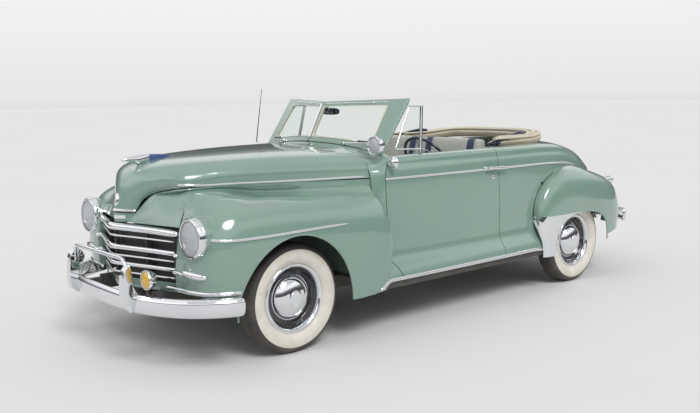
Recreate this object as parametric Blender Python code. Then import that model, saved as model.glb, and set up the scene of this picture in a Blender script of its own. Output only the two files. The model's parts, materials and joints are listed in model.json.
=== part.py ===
"""A full-size two-door convertible car of the late 1940s: body, doors, lids, running gear and cabin.

Run with: blender --background --python part.py
Metres, +Z up. The car faces -Y, its left (driver's) side is +X, and the ground is z = 0.
"""

import math

import bmesh
import bpy
import numpy as np
from mathutils import Matrix, Vector

# Driving dimensions
LENGTH = 5.000  # over the bumper guards
WIDTH = 1.852  # over the rear fenders
WHEELBASE = 2.972
FRONT_OVERHANG = 0.964  # bumper guard face to front axle
FRONT_TRACK = 1.448
REAR_TRACK = 1.522
TYRE_RADIUS = 0.352
TYRE_WIDTH = 0.166
RIM_RADIUS = 0.205
WHEEL_SIDES = 20
BELT_Z = 1.190  # top of the doors
MOULDING_Z = 1.038  # chrome belt moulding
DOOR_FRONT = -0.745
DOOR_REAR = 0.445
SILL_Z = 0.3528  # lower edge of the cowl and quarters
DOOR_THICK = 0.055
CABIN_X = 0.715  # inner face of the doors
SHUT_GAP = 0.006  # round doors and lids
SEAT_GAP = 0.0004  # between pieces that touch
BODY_SEAT = 0.00094  # fenders off the body's facets
FENDER_SHEET = 0.010
BODY_SHEET = 0.028
LID_SHEET = 0.016
KINGPIN_X = 0.640
KINGPIN_R = 0.014
SPINDLE_R = 0.0233
BORE_R = 0.0240
HEADLAMP = (0.681, -2.158, 0.800)
HEADLAMP_R = 0.122
FRAME_TOP = 0.3300
FLOOR_Z = 0.3304  # underside of the floor pan
FLOOR_SHEET = 0.022
SIDES = (("left", 1.0), ("right", -1.0))

FRONT_END = -LENGTH / 2
REAR_END = LENGTH / 2
FRONT_AXLE = FRONT_END + FRONT_OVERHANG
REAR_AXLE = FRONT_AXLE + WHEELBASE
HALF_WIDTH = WIDTH / 2

# Body ribs, front to rear. y is the rib's place at the side; corner and lean are how far its belt and
# its middle stand behind that.
# y, sill_z, sill_x, waist_x, mid_x, mould_x, mould_z, belt_x, belt_z, deck_z, corner, lean
BODY_RIBS = (
    (-0.845, SILL_Z, 0.865, 0.775, 0.775, 0.750, MOULDING_Z + 0.007, 0.660, 1.165, 1.258, 0.000, -0.035),
    (DOOR_FRONT, SILL_Z, 0.885, 0.803, 0.802, 0.788, MOULDING_Z + 0.004, 0.715, 1.186, 1.275, 0.115, 0.005),
    (DOOR_REAR, SILL_Z, 0.893, 0.818, 0.815, 0.800, MOULDING_Z - 0.003, 0.735, BELT_Z, 1.215, 0.000, 0.000),
    (0.950, SILL_Z, 0.885, 0.815, 0.805, 0.785, 1.032, 0.715, BELT_Z, 1.212, 0.000, 0.000),
    (1.280, 0.360, 0.840, 0.795, 0.785, 0.760, 1.022, 0.680, 1.180, 1.215, 0.000, 0.020),
    (1.620, 0.380, 0.770, 0.755, 0.745, 0.710, 0.985, 0.610, 1.120, 1.165, 0.010, 0.050),
    (1.880, 0.400, 0.700, 0.690, 0.680, 0.645, 0.920, 0.540, 1.020, 1.075, 0.020, 0.100),
    (2.050, 0.420, 0.620, 0.620, 0.610, 0.575, 0.830, 0.470, 0.900, 0.965, 0.035, 0.170),
    (2.130, 0.440, 0.560, 0.560, 0.550, 0.520, 0.700, 0.430, 0.755, 0.800, 0.050, 0.240),
    (2.150, 0.460, 0.520, 0.520, 0.510, 0.490, 0.560, 0.410, 0.600, 0.620, 0.060, 0.270),
)
FLARE_TOP = 0.560  # the body's foot flares out below this
FLARE_REACH = 0.065  # the fenders keep clear of the flare's edge by as much
FLARE, WAIST, MID = 0.10, 0.26, 0.62  # heights of the lower levels, as shares of sill to moulding
BELT_LEVEL = 6.0
V_CENTRE = 8.0
SIDE_LEVELS = (0.0, 0.6, 1.2, 1.8, 2.6, 3.4, 4.0, 4.5, 5.0, 5.5, 6.0)  # shared by the side panels

# Hood ribs, nose to cowl: middle line, then lower edge.
# mid_y, mid_z, edge_x, edge_y, edge_z, power of the curve across: below 1 is full, above 1 is peaked
HOOD_RIBS = (
    (-2.338, 0.918, 0.105, -2.243, 0.910, 1.50),
    (-2.318, 0.988, 0.160, -2.213, 0.988, 1.35),
    (-2.290, 1.075, 0.228, -2.172, 1.027, 1.15),
    (-2.228, 1.157, 0.310, -2.131, 1.049, 0.95),
    (-2.110, 1.203, 0.415, -2.056, 1.066, 0.80),
    (-1.960, 1.228, 0.475, -1.850, 1.072, 0.72),
    (-1.700, 1.244, 0.545, -1.600, 1.070, 0.66),
    (-1.330, 1.255, 0.630, -1.280, 1.066, 0.62),
    (-0.886, 1.258, 0.742, -0.853, 1.056, 0.62),
)

# Front fender ribs, from the nose seam round the corner to the door. Each level is x, y, z.
# bottom, low, side, shoulder, crown, seam
FRONT_FENDER_RIBS = (
    ((0.098, -2.300, 0.465), (0.098, -2.298, 0.620), (0.098, -2.286, 0.800),
     (0.098, -2.274, 0.842), (0.098, -2.263, 0.868), (0.100, -2.254, 0.888)),
    ((0.290, -2.262, 0.465), (0.290, -2.258, 0.620), (0.290, -2.245, 0.800),
     (0.285, -2.226, 0.875), (0.262, -2.198, 0.945), (0.216, -2.190, 0.998)),
    ((0.470, -2.225, 0.465), (0.475, -2.222, 0.620), (0.475, -2.195, 0.800),
     (0.462, -2.160, 0.895), (0.420, -2.112, 0.970), (0.335, -2.100, 1.026)),
    ((0.630, -2.205, 0.462), (0.640, -2.208, 0.620), (0.640, -2.176, 0.800),
     (0.612, -2.130, 0.920), (0.540, -2.055, 0.998), (0.422, -2.030, 1.048)),
    ((0.770, -2.155, 0.458), (0.785, -2.162, 0.620), (0.782, -2.142, 0.800),
     (0.738, -2.085, 0.928), (0.645, -1.985, 1.005), (0.480, -1.860, 1.046)),
    ((0.845, -2.055, 0.448), (0.862, -2.058, 0.620), (0.856, -2.045, 0.800),
     (0.806, -1.995, 0.932), (0.700, -1.905, 1.004), (0.514, -1.745, 1.028)),
    ((0.872, -1.920, 0.430), (0.886, -1.915, 0.620), (0.878, -1.910, 0.800),
     (0.832, -1.880, 0.930), (0.712, -1.800, 0.992), (0.545, -1.640, 1.010)),
    ((0.893, -1.720, 0.385), (0.903, -1.720, 0.620), (0.895, -1.720, 0.800),
     (0.848, -1.700, 0.930), (0.730, -1.640, 0.990), (0.578, -1.510, 1.003)),
    ((0.905, -1.450, 0.340), (0.912, -1.450, 0.600), (0.904, -1.450, 0.785),
     (0.858, -1.450, 0.915), (0.745, -1.430, 0.975), (0.620, -1.360, 0.995)),
    ((0.906, -1.170, 0.300), (0.912, -1.170, 0.580), (0.903, -1.170, 0.765),
     (0.862, -1.180, 0.890), (0.780, -1.190, 0.960), (0.672, -1.190, 0.992)),
    ((0.908, -1.015, 0.300), (0.912, -0.975, 0.550), (0.902, -0.965, 0.740),
     (0.868, -0.985, 0.865), (0.805, -1.020, 0.945), (0.708, -1.045, 0.988)),
    ((0.908, -0.905, 0.308), (0.905, -0.810, 0.535), (0.893, -0.800, 0.700),
     (0.862, -0.825, 0.830), (0.820, -0.872, 0.925), (0.742, -0.925, 0.984)),
    ((0.902, -0.852, 0.312), (0.858, -0.764, 0.530), (0.828, -0.754, 0.700),
     (0.805, -0.784, 0.835), (0.791, -0.828, 0.920), (0.7526, -0.852, 0.985)),
)
FRONT_ARCH = (FRONT_AXLE - 0.041, 0.430, 0.300, 0.772, 2.0)  # y, half length, foot z, top z, fullness
GRILLE_TOP = 0.842

# Rear fender ribs, from the leading edge on the door side round to the tail.
# bottom, low, side, shoulder, crown, inner
REAR_FENDER_RIBS = (
    ((0.870, 0.918, 0.335), (0.825, 0.880, 0.500), (0.800, 0.880, 0.660),
     (0.795, 0.930, 0.790), (0.790, 1.050, 0.890), (0.770, 1.190, 0.950)),
    ((0.908, 0.945, 0.333), (0.898, 0.905, 0.500), (0.888, 0.915, 0.660),
     (0.872, 0.975, 0.800), (0.845, 1.090, 0.905), (0.765, 1.240, 0.970)),
    ((0.922, 1.090, 0.335), (0.923, 1.070, 0.520), (0.918, 1.080, 0.690),
     (0.898, 1.140, 0.845), (0.850, 1.225, 0.955), (0.745, 1.360, 1.000)),
    ((0.922, 1.450, 0.350), (0.926, 1.450, 0.550), (0.921, 1.450, 0.710),
     (0.892, 1.460, 0.872), (0.822, 1.480, 0.965), (0.700, 1.520, 0.995)),
    ((0.916, 1.780, 0.370), (0.922, 1.780, 0.550), (0.914, 1.760, 0.700),
     (0.880, 1.730, 0.842), (0.795, 1.700, 0.926), (0.650, 1.680, 0.948)),
    ((0.880, 2.010, 0.400), (0.887, 2.015, 0.530), (0.880, 2.005, 0.665),
     (0.840, 1.980, 0.796), (0.755, 1.920, 0.870), (0.610, 1.850, 0.886)),
    ((0.800, 2.115, 0.420), (0.803, 2.130, 0.520), (0.795, 2.125, 0.635),
     (0.760, 2.095, 0.742), (0.692, 2.035, 0.800), (0.560, 1.960, 0.806)),
    ((0.640, 2.150, 0.430), (0.640, 2.165, 0.510), (0.630, 2.152, 0.595),
     (0.610, 2.115, 0.672), (0.570, 2.060, 0.715), (0.480, 2.010, 0.725)),
)
REAR_ARCH = (REAR_AXLE, 0.385, 0.330, 0.610, 2.6)

# Doors, lids and openings
# Levels, and how far the door's front edge is cut back at each
DOOR_CUT_LEVELS = (0.0, 1.2, 1.8, 2.6)
DOOR_CUT = (0.095, 0.048, 0.010, 0.0)
DOOR_SWEEP_GAP = 0.0015  # inside the path of the door's foot
DOOR_LEVEL = 0.10  # the door's lower edge, just above the rocker
DOOR_HINGE_X = 0.808
DOOR_PIN_Z = (0.655, 0.690)
HOOD_HINGE = (-0.8780, 1.2580)  # y, z
HOOD_PIN_X = 0.26
HOOD_GAP = 0.008  # under the hood's sides
PIN_HALF = 0.02
ARCH_HOLE = (1.00, 1.87)  # y of the opening inside the rear fender
ARCH_LEVEL = 3.4
WELL_END = 1.40  # rear end of the cabin opening
WELL_LEVEL = 6.20
LID_LEVEL = 6.75
LID_GAP = 0.050  # beside the lid, as a share of a level
LID_STATIONS = np.array([1.45, 1.66, 1.87, 1.934, 1.998, 2.062, 2.125])
LID_HINGE = (1.4755, 1.1950)
LID_PIN_X = 0.27
TAIL_LAMP = (0.755, 2.070, 0.822)

# Nose and windshield
GRILLE_Y = -2.353
GRILLE_SWEEP = 0.36
GRILLE_HALF = 0.515
GRILLE_DEPTH = 0.045
BOW = 0.030  # how round the prow is in the middle
NOSE_HALF = 0.0974
# z, y in the middle, sweep
NOSE_ROWS = ((0.842, -2.335, 0.90), (0.872, -2.336, 1.08), (0.900, -2.337, 1.22))
APRON_Z = 0.4404  # foot of the apron, on the frame rails
GRILLE_HOLE = ((0.0, -2.60, 0.30), (0.520, -2.00, GRILLE_TOP))
# top z, height, swell of each bar
GRILLE_BARS = (
    (0.8416, 0.048, 0.022),
    (0.7580, 0.014, 0.008),
    (0.7060, 0.032, 0.018),
    (0.6440, 0.014, 0.008),
    (0.5960, 0.022, 0.014),
    (0.5400, 0.014, 0.008),
)
SCREEN_LEVEL = 6.12  # level of the body surface under the windshield's ends
SCREEN_FOOT_GAP = -0.0004
SCREEN_TOP_X = 0.686
SCREEN_TOP_Y = -0.632
SCREEN_TOP_SWEEP = 0.216
SCREEN_TOP_Z = 1.562
FRAME_DEPTH = 0.026
VENT_X = 0.712
VENT_LEAN = 0.040
VENT_TOP_Z = 1.525
VENT_FRONT_FOOT = -0.555
VENT_REAR_FOOT = -0.330
VENT_REAR_TOP = -0.275

# Bumpers, half blades from the middle out: x, y
FRONT_BLADE = ((0.0, -2.440), (0.25, -2.435), (0.45, -2.405), (0.62, -2.335), (0.75, -2.245), (0.84, -2.130),
               (0.885, -2.040), (0.895, -1.985))
REAR_BLADE = ((0.0, 2.445), (0.30, 2.440), (0.50, 2.420), (0.66, 2.370), (0.76, 2.310), (0.80, 2.250))
GUARD_X = 0.377
# behind the bumper's face, z
GUARD = ((0.030, 0.372), (0.004, 0.400), (0.0, 0.520), (0.012, 0.600), (0.035, 0.628), (0.060, 0.610),
         (0.062, 0.380))
REAR_GUARD = ((0.0, 0.440), (0.004, 0.560), (0.030, 0.600), (0.055, 0.580), (0.055, 0.410), (0.020, 0.405))
FOG_LAMP = ((-0.055, 0), (-0.050, 0.025), (-0.020, 0.052), (0.0, 0.060), (0.012, 0.060), (0.020, 0.050),
            (0.027, 0.025), (0.030, 0))
HOOP_X = 0.360
HOOP_Z = 0.668
FOG_X = 0.501
FOG_Z = 0.558

# Floor stations: y, top, half width, depth of the rocker below the pan
FLOOR_STATIONS = (
    (-0.840, SILL_Z - SEAT_GAP, 0.874, 0.025),
    (0.925, SILL_Z - SEAT_GAP, 0.874, 0.025),
    (0.935, SILL_Z - SEAT_GAP, 0.600, 0.004),
    (1.140, 0.600, 0.590, 0.004),
    (1.880, 0.600, 0.590, 0.004),
    (2.110, 0.560, 0.430, 0.004),
)
FIREWALL_Y = -0.832

# Cabin: outlines as y, z
FRONT_SEAT = ((0.02, SILL_Z + SEAT_GAP), (-0.07, 0.58), (-0.06, 0.63), (0.02, 0.650), (0.28, 0.642),
              (0.36, 0.636), (0.44, 0.636), (0.45, 0.60), (0.42, SILL_Z + SEAT_GAP))
SEAT_HINGE = (0.378, 0.642)
SEAT_BACK = ((0.372, 0.648), (0.360, 0.75), (0.385, 1.00), (0.418, 1.20), (0.445, 1.252), (0.490, 1.250),
             (0.512, 1.20), (0.505, 0.95), (0.480, 0.648))
REAR_SEAT = ((0.740, SILL_Z + SEAT_GAP), (0.700, 0.57), (0.715, 0.625), (0.80, 0.640), (1.00, 0.615),
             (1.085, 1.08), (1.115, 1.13), (1.165, 1.12), (1.175, 1.05), (1.137, 0.6040),
             (0.9315, SILL_Z + SEAT_GAP))
DASH_Y = -0.790
DASH = ((DASH_Y, 0.93), (DASH_Y, 1.10), (-0.66, 1.135), (-0.565, 1.110), (-0.545, 0.99), (-0.57, 0.93))
COLUMN_ANGLE = math.radians(35)
COLUMN_R = 0.020
STEER_CENTRE = (0.360, 0.115, 1.100)
STEER_R = 0.212
STEER_RIM = 0.012
STEER_HUB = ((-0.050, 0), (-0.050, 0.020), (-0.020, 0.036), (0.004, 0.036), (0.012, 0.020), (0.012, 0))
# The folded top's roll on the left side, from its front end, and its middle
TOP_PATH = ((0.580, 0.62, 1.215), (0.590, 0.85, 1.213), (0.580, 1.08, 1.215), (0.530, 1.24, 1.233),
            (0.380, 1.345, 1.243))
TOP_MIDDLE = (0.0, 1.375, 1.247)

# Chassis: rail stations are y, top
RAIL_X = 0.360
RAIL_H = 0.090
RAIL_STATIONS = ((-2.280, 0.440), (-1.300, 0.440), (-1.200, 0.430), (-0.980, 0.340), (-0.900, FRAME_TOP),
                 (0.970, FRAME_TOP), (1.050, 0.345), (1.210, 0.500), (1.280, 0.515), (2.280, 0.515))
# y, top, depth, half width
CROSS_MEMBERS = (
    (-2.025, 0.440, 0.060, 0.40),
    (-0.600, FRAME_TOP, 0.035, 0.40),
    (0.300, FRAME_TOP, 0.035, 0.40),
    (0.880, FRAME_TOP, 0.035, 0.53),
    (2.000, 0.515, 0.060, 0.53),
)
CRADLE_TOP = 0.3496
ARM_Z = 0.090
DRUM_FACE = 0.055
DRUM_R = 0.140
BORE_END = 0.030
SPRING_X = 0.500
SPRING_PATH = ((0.840, 0.2800), (0.920, 0.2800), (1.180, 0.284), (1.430, 0.290), (1.680, 0.315),
               (1.960, 0.4390), (2.040, 0.4400))
ENGINE_Y = (-1.830, -1.020)
GEARBOX_END = -0.320
SHAFT_Z = 0.2600
EXHAUST_X = 0.250
EXHAUST_Z = 0.2721  # hung under the cross members
EXHAUST_PATH = ((-1.150, 0.300), (-1.000, EXHAUST_Z), (2.300, EXHAUST_Z))
EXHAUST_R = 0.0225

# Fittings
SPOT = (0.735, -0.790, 1.267)
MIRROR = (0.812, -0.700, 1.150)
AERIAL_TIP = (0.0, 0.07, 0.455)  # from its foot

FINISHES = {
    "paint": ((0.42, 0.52, 0.44), 0.25, 0.1),
    "chrome": ((0.78, 0.79, 0.81), 0.08, 1.0),
    "glass": ((0.70, 0.78, 0.76), 0.03, 0.0),
    "tyre": ((0.03, 0.03, 0.032), 0.75, 0.0),
    "wheel": ((0.03, 0.035, 0.04), 0.25, 0.3),
    "chassis": ((0.035, 0.035, 0.037), 0.55, 0.3),
    "engine": ((0.30, 0.32, 0.33), 0.5, 0.4),
    "upholstery": ((0.50, 0.50, 0.46), 0.6, 0.0),
    "trim": ((0.40, 0.47, 0.42), 0.5, 0.0),
    "canvas": ((0.62, 0.55, 0.42), 0.85, 0.0),
    "plastic": ((0.02, 0.03, 0.05), 0.35, 0.0),
}


def material_of(finish):
    """The Principled material of a finish in the table above."""
    found = bpy.data.materials.get(finish)
    if found:
        return found
    colour, roughness, metallic = FINISHES[finish]
    made = bpy.data.materials.new(finish)
    made.use_nodes = True
    shader = made.node_tree.nodes["Principled BSDF"]
    shader.inputs["Base Color"].default_value = (*colour, 1.0)
    shader.inputs["Roughness"].default_value = roughness
    shader.inputs["Metallic"].default_value = metallic
    made.diffuse_color = (*colour, 1.0)
    return made


def signed_volume(points, faces):
    """Volume inside a closed mesh, negative if its faces point inwards."""
    total = 0.0
    for face in faces:
        a = points[face[0]]
        for j in range(1, len(face) - 1):
            total += np.dot(a, np.cross(points[face[j]], points[face[j + 1]]))
    return total / 6


def solid(name, points, faces, finish, smooth=32):
    """A mesh object from points and faces, turned to face outwards."""
    points = np.asarray(points, float)
    if signed_volume(points, faces) < 0:
        faces = [tuple(reversed(f)) for f in faces]
    mesh = bpy.data.meshes.new(name)
    mesh.from_pydata([tuple(p) for p in points], [], faces)
    mesh.validate()
    mesh.shade_smooth()
    mesh.set_sharp_from_angle(angle=math.radians(smooth))
    mesh.materials.append(material_of(finish))
    obj = bpy.data.objects.new(name, mesh)
    bpy.context.scene.collection.objects.link(obj)
    return obj


def spline(rows, at, knots=None):
    """Smooth values between rows. Knots are the rows' places; values between those never overshoot."""
    p = np.asarray(rows, float)
    k = np.arange(len(p), dtype=float) if knots is None else np.asarray(knots, float)
    column = (-1,) + (1,) * (p.ndim - 1)
    h = np.diff(k)
    slope = np.diff(p, axis=0) / h.reshape(column)
    if knots is None:
        middle = 0.5 * (slope[:-1] + slope[1:])
    else:
        product = np.maximum(slope[:-1] * slope[1:], 0)
        middle = 2 * product / np.where(product > 0, slope[:-1] + slope[1:], 1)
    tangent = np.concatenate([slope[:1], middle, slope[-1:]])
    at = np.atleast_1d(np.asarray(at, float))
    i = np.clip(np.searchsorted(k, at, side="right") - 1, 0, len(h) - 1)
    t = ((at - k[i]) / h[i]).reshape(column)
    step = h[i].reshape(column)
    start, end = p[i], p[i + 1]
    bend = tangent[i] * step * (t**3 - 2 * t**2 + t) + tangent[i + 1] * step * (t**3 - t**2)
    return start * (2 * t**3 - 3 * t**2 + 1) + end * (3 * t**2 - 2 * t**3) + bend


def loft(ribs, us, vs):
    """A grid of points on the surface through ribs, at rib numbers us and level numbers vs."""
    along = spline(ribs, us)
    return np.swapaxes(spline(np.swapaxes(along, 0, 1), vs), 0, 1)


def offset(grid, distance, core):
    """The grid moved along its normals, away from core if distance is positive."""
    du = np.gradient(grid, axis=0)
    dv = np.gradient(grid, axis=1)
    normal = np.cross(du, dv)
    normal /= np.maximum(np.linalg.norm(normal, axis=2, keepdims=True), 1e-9)
    away = np.sum(normal * (grid - core), axis=2, keepdims=True)
    return grid + normal * np.sign(away) * distance


def between(outer, inner, keep=None):
    """Points and faces of the closed sheet between two grids, over the cells in keep."""
    n, m = outer.shape[:2]
    points = np.concatenate([outer.reshape(-1, 3), inner.reshape(-1, 3)])
    keep = np.ones((n - 1, m - 1), bool) if keep is None else keep
    padded = np.pad(keep, 1)
    faces = []
    for i, j in np.argwhere(keep):
        corners = (i * m + j, (i + 1) * m + j, (i + 1) * m + j + 1, i * m + j + 1)
        faces.append(corners)
        faces.append(tuple(c + n * m for c in reversed(corners)))
        neighbours = (padded[i + 1, j], padded[i + 2, j + 1], padded[i + 1, j + 2], padded[i, j + 1])
        for side in range(4):
            if not neighbours[side]:
                a, b = corners[side], corners[(side + 1) % 4]
                faces.append((b, a, a + n * m, b + n * m))
    used = sorted({c for face in faces for c in face})
    place = {c: k for k, c in enumerate(used)}
    return points[used], [tuple(place[c] for c in face) for face in faces]


def skin(sections):
    """Points and faces of the solid through closed sections of as many points each, with flat ends."""
    rows = np.asarray(sections, float)
    n, m = rows.shape[:2]
    faces = [tuple(range(m)), tuple((n - 1) * m + j for j in reversed(range(m)))]
    for i in range(n - 1):
        for j in range(m):
            k = (j + 1) % m
            faces.append((i * m + k, i * m + j, (i + 1) * m + j, (i + 1) * m + k))
    return rows.reshape(-1, 3), faces


def sweep(path, section, sizes=None):
    """Sections of a shape carried along a path. Section points are (outward to the right, up)."""
    path = np.asarray(path, float)
    along = np.gradient(path, axis=0)
    along /= np.linalg.norm(along, axis=1, keepdims=True)
    right = np.cross(along, (0.0, 0.0, 1.0))
    right /= np.linalg.norm(right, axis=1, keepdims=True)
    up = np.cross(right, along)
    section = np.asarray(section, float)
    sizes = np.ones(len(path)) if sizes is None else np.asarray(sizes, float)
    across = right[:, None] * section[None, :, :1] + up[:, None] * section[None, :, 1:]
    return skin(path[:, None] + across * sizes[:, None, None])


def circle(radius, count):
    """Points of a circle."""
    angles = np.arange(count) * 2 * math.pi / count
    return np.stack([radius * np.cos(angles), radius * np.sin(angles)], axis=1)


def plate(outline, near, far, axis):
    """The solid of a flat outline carried from near to far along an axis, 0 for x, 1 for y, 2 for z."""
    outline = np.asarray(outline, float)
    sections = []
    for place in (near, far):
        sections.append(np.insert(outline, axis, place, axis=1))
    return skin(sections)


def block(low, high):
    """The box between two corners."""
    (x0, y0, z0), (x1, y1, z1) = low, high
    return plate(((x0, y0), (x1, y0), (x1, y1), (x0, y1)), z0, z1, 2)


def turned(profile, count, ring=False, half_step=False):
    """A shape turned round the x axis from (x, radius) points; a ring's profile is closed on itself."""
    angles = (np.arange(count) + 0.5 * half_step) * 2 * math.pi / count
    points, rows = [], []
    for x, radius in profile:
        if radius == 0:
            rows.append([len(points)] * count)
            points.append((x, 0.0, 0.0))
        else:
            rows.append(list(range(len(points), len(points) + count)))
            points += [(x, radius * math.cos(a), radius * math.sin(a)) for a in angles]
    pairs = list(zip(rows, rows[1:] + (rows[:1] if ring else [])))
    faces = []
    for near, far in pairs:
        for j in range(count):
            k = (j + 1) % count
            corners = (near[j], near[k], far[k], far[j])
            kept = tuple(dict.fromkeys(corners))
            if len(kept) > 2:
                faces.append(kept)
    return np.array(points), faces


def placed(shape, move=(0, 0, 0), turn=None, mirror=1.0):
    """A shape's points turned by a matrix, moved, and mirrored in x where mirror is -1."""
    points, faces = shape
    if turn is not None:
        points = points @ np.array(turn).T
    return (points + np.array(move)) * (mirror, 1.0, 1.0), faces


def combine(target, shapes, operation="UNION"):
    """Joins shapes to an object, or cuts them from it."""
    for shape in shapes:
        tool = solid("tool", *shape, "chassis")
        modifier = target.modifiers.new("combine", "BOOLEAN")
        modifier.operation = operation
        modifier.object = tool
        modifier.solver = "EXACT"
        bpy.context.view_layer.update()
        graph = bpy.context.evaluated_depsgraph_get()
        mesh = bpy.data.meshes.new_from_object(target.evaluated_get(graph))
        target.modifiers.clear()
        target.data = mesh
        bpy.data.objects.remove(tool)
    return target


def seat(facet, along, across):
    """A point just off a four-cornered facet, and the facet's outward normal there."""
    low = facet[0, 0] + (facet[1, 0] - facet[0, 0]) * along
    high = facet[0, 1] + (facet[1, 1] - facet[0, 1]) * along
    rise = facet[1, 0] - facet[0, 0] + (facet[1, 1] - facet[0, 1])
    normal = np.cross(high - low, rise)
    normal /= np.linalg.norm(normal)
    normal *= np.sign(np.dot(normal, facet[0, 0] - (0.0, 0.4, 0.6)))
    return low + (high - low) * across + normal * SEAT_GAP, normal


def hang(obj, point):
    """Moves an object's origin to a point on its joint's axis."""
    obj.data.transform(Matrix.Translation(-Vector(point)))
    obj.location = point
    return obj


# The body surface: every place on it is a y along the side and a level from 0, the left sill,
# over 8, the middle, to 16, the right sill


def body_rib(y, sill_z, sill_x, waist_x, mid_x, mould_x, mould_z, belt_x, belt_z, deck_z, corner, lean):
    """The levels of one rib, left sill to right sill, as x, y, z."""
    rise = mould_z - sill_z
    left = [
        (sill_x, y, sill_z),
        (0.70 * sill_x + 0.30 * waist_x, y, sill_z + FLARE * rise),
        (waist_x, y, sill_z + WAIST * rise),
        (mid_x, y, sill_z + MID * rise),
        (mould_x, y, mould_z),
        (0.5 * (mould_x + belt_x) + 0.014, y + 0.3 * corner, 0.5 * (mould_z + belt_z) + 0.012),
        (belt_x, y + corner, belt_z),
        (0.57 * belt_x, y + 0.6 * (corner + lean), belt_z + 0.72 * (deck_z - belt_z)),
    ]
    middle = [(0.0, y + lean, deck_z)]
    right = [(-x, at, z) for x, at, z in reversed(left)]
    return left + middle + right


BODY = np.array([body_rib(*row) for row in BODY_RIBS])
RIB_Y = np.array([row[0] for row in BODY_RIBS])


def body_grid(ys, vs):
    """Points of the body surface at levels vs; ys is one place a station, or a column for each level."""
    vs = np.asarray(vs, float)
    ys = np.asarray(ys, float)
    if ys.ndim == 1:
        ys = np.repeat(ys[:, None], len(vs), axis=1)
    levels = spline(np.swapaxes(BODY, 0, 1), vs)
    return np.stack([spline(levels[j], ys[:, j], RIB_Y) for j in range(len(vs))], axis=1)


TABLE_Y = np.linspace(RIB_Y[0], RIB_Y[-1], 400)
TABLE = body_grid(TABLE_Y, SIDE_LEVELS)


def side_x(y, z):
    """Half width of the body side at a place along the car and a height."""
    levels = range(TABLE.shape[1])
    xs = [np.interp(y, TABLE[:, j, 1], TABLE[:, j, 0]) for j in levels]
    zs = [np.interp(y, TABLE[:, j, 1], TABLE[:, j, 2]) for j in levels]
    return float(np.interp(z, zs, xs))


def outside_body(grid, clearance):
    """The grid with every point that lies inside the body side moved out to it."""
    result = grid.copy()
    for point in result.reshape(-1, 3):
        if RIB_Y[0] - 0.004 <= point[1] <= RIB_Y[-1]:
            foot_z = point[2] - FLARE_REACH if point[2] < FLARE_TOP else point[2]
            point[0] = max(point[0], side_x(point[1], foot_z) + clearance)
    return result


def body_core(grid):
    """Points inside the body that its sheet's thickness faces."""
    core = grid * (0.0, 1.0, 0.0)
    core[..., 1] = np.clip(core[..., 1], FRONT_AXLE, 1.45)
    core[..., 2] = 0.70
    return core


def both_sides(levels):
    """Levels of the left half, with the right half's added in reverse."""
    return np.array(list(levels) + [2 * V_CENTRE - v for v in reversed(levels) if v != V_CENTRE])


LID_LEVELS = both_sides([LID_LEVEL + LID_GAP, 7.0, 7.3, V_CENTRE])


def square_edges(outer, inner):
    """The inner grid with its ends in the planes of the outer grid's ends, and its feet no lower."""
    inner = inner.copy()
    for row in (0, -1):
        inner[row, :, 1] = outer[row, :, 1]
    inner[..., 2] = np.maximum(inner[..., 2], outer[:, :1, 2])
    return inner


def door_edge(vs):
    """Where the door's front edge stands at each level: cut back at the foot, clear of the fender."""
    vs = np.asarray(vs, float)
    level = np.minimum(vs, 2 * V_CENTRE - vs)
    return DOOR_FRONT + np.interp(level, DOOR_CUT_LEVELS, DOOR_CUT)


def make_cowl():
    """Cowl top and sides, with the hinge pins of hood and doors in its gaps."""
    vs = both_sides([*SIDE_LEVELS, 6.5, 7, V_CENTRE])
    ends = door_edge(vs) - SHUT_GAP / 2
    share = np.linspace(0, 1, 4)[:, None]
    ys = RIB_Y[0] + share * (ends - RIB_Y[0])[None]
    outer = body_grid(ys, vs)
    inner = square_edges(outer, offset(outer, -BODY_SHEET, body_core(outer)))
    jamb = (vs <= BELT_LEVEL) | (vs >= 2 * V_CENTRE - BELT_LEVEL)
    inner[-1, jamb] = outer[-1, jamb] - np.sign(outer[-1, jamb]) * (BODY_SHEET, 0, 0)
    cowl = solid("cowl", *between(outer, inner), "paint")
    pins = []
    for _, side in SIDES:
        pins += door_pin(side)
        pins.append(hood_pin(side))
    return combine(cowl, pins)


def door_pin(side):
    """A hinge pin in the gap before the door, with the web that joins it to the cowl."""
    radius = SHUT_GAP / 2 - SEAT_GAP
    low, high = DOOR_PIN_Z
    pin = skin([np.insert(circle(radius, 8), 2, z, axis=1) for z in (low, high)])
    pin = placed(pin, (DOOR_HINGE_X, DOOR_FRONT, 0))
    web_end = DOOR_FRONT - SHUT_GAP
    x0 = DOOR_HINGE_X - 5 * radius
    web = block((x0, web_end, low), (DOOR_HINGE_X, DOOR_FRONT - radius / 2, high))
    low_end, high_end = low + 0.001, high - 0.001
    x1 = DOOR_HINGE_X - radius / 2
    leaf = block((x0, DOOR_FRONT - radius, low_end), (x1, DOOR_FRONT + radius, high_end))
    return [placed(shape, mirror=side) for shape in (pin, web, leaf)]


def hood_pin(side):
    """A hinge knuckle in the gap behind the hood, held by the cowl."""
    edge = hood_grid()[-1]
    y = np.interp(HOOD_PIN_X + PIN_HALF, edge[8::-1, 0], edge[8::-1, 1]) + SEAT_GAP
    low = (HOOD_PIN_X - PIN_HALF, y, HOOD_HINGE[1] - 0.026)
    high = (HOOD_PIN_X + PIN_HALF, y + 0.025, HOOD_HINGE[1] - 0.013)
    return placed(block(low, high), mirror=side)


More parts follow.
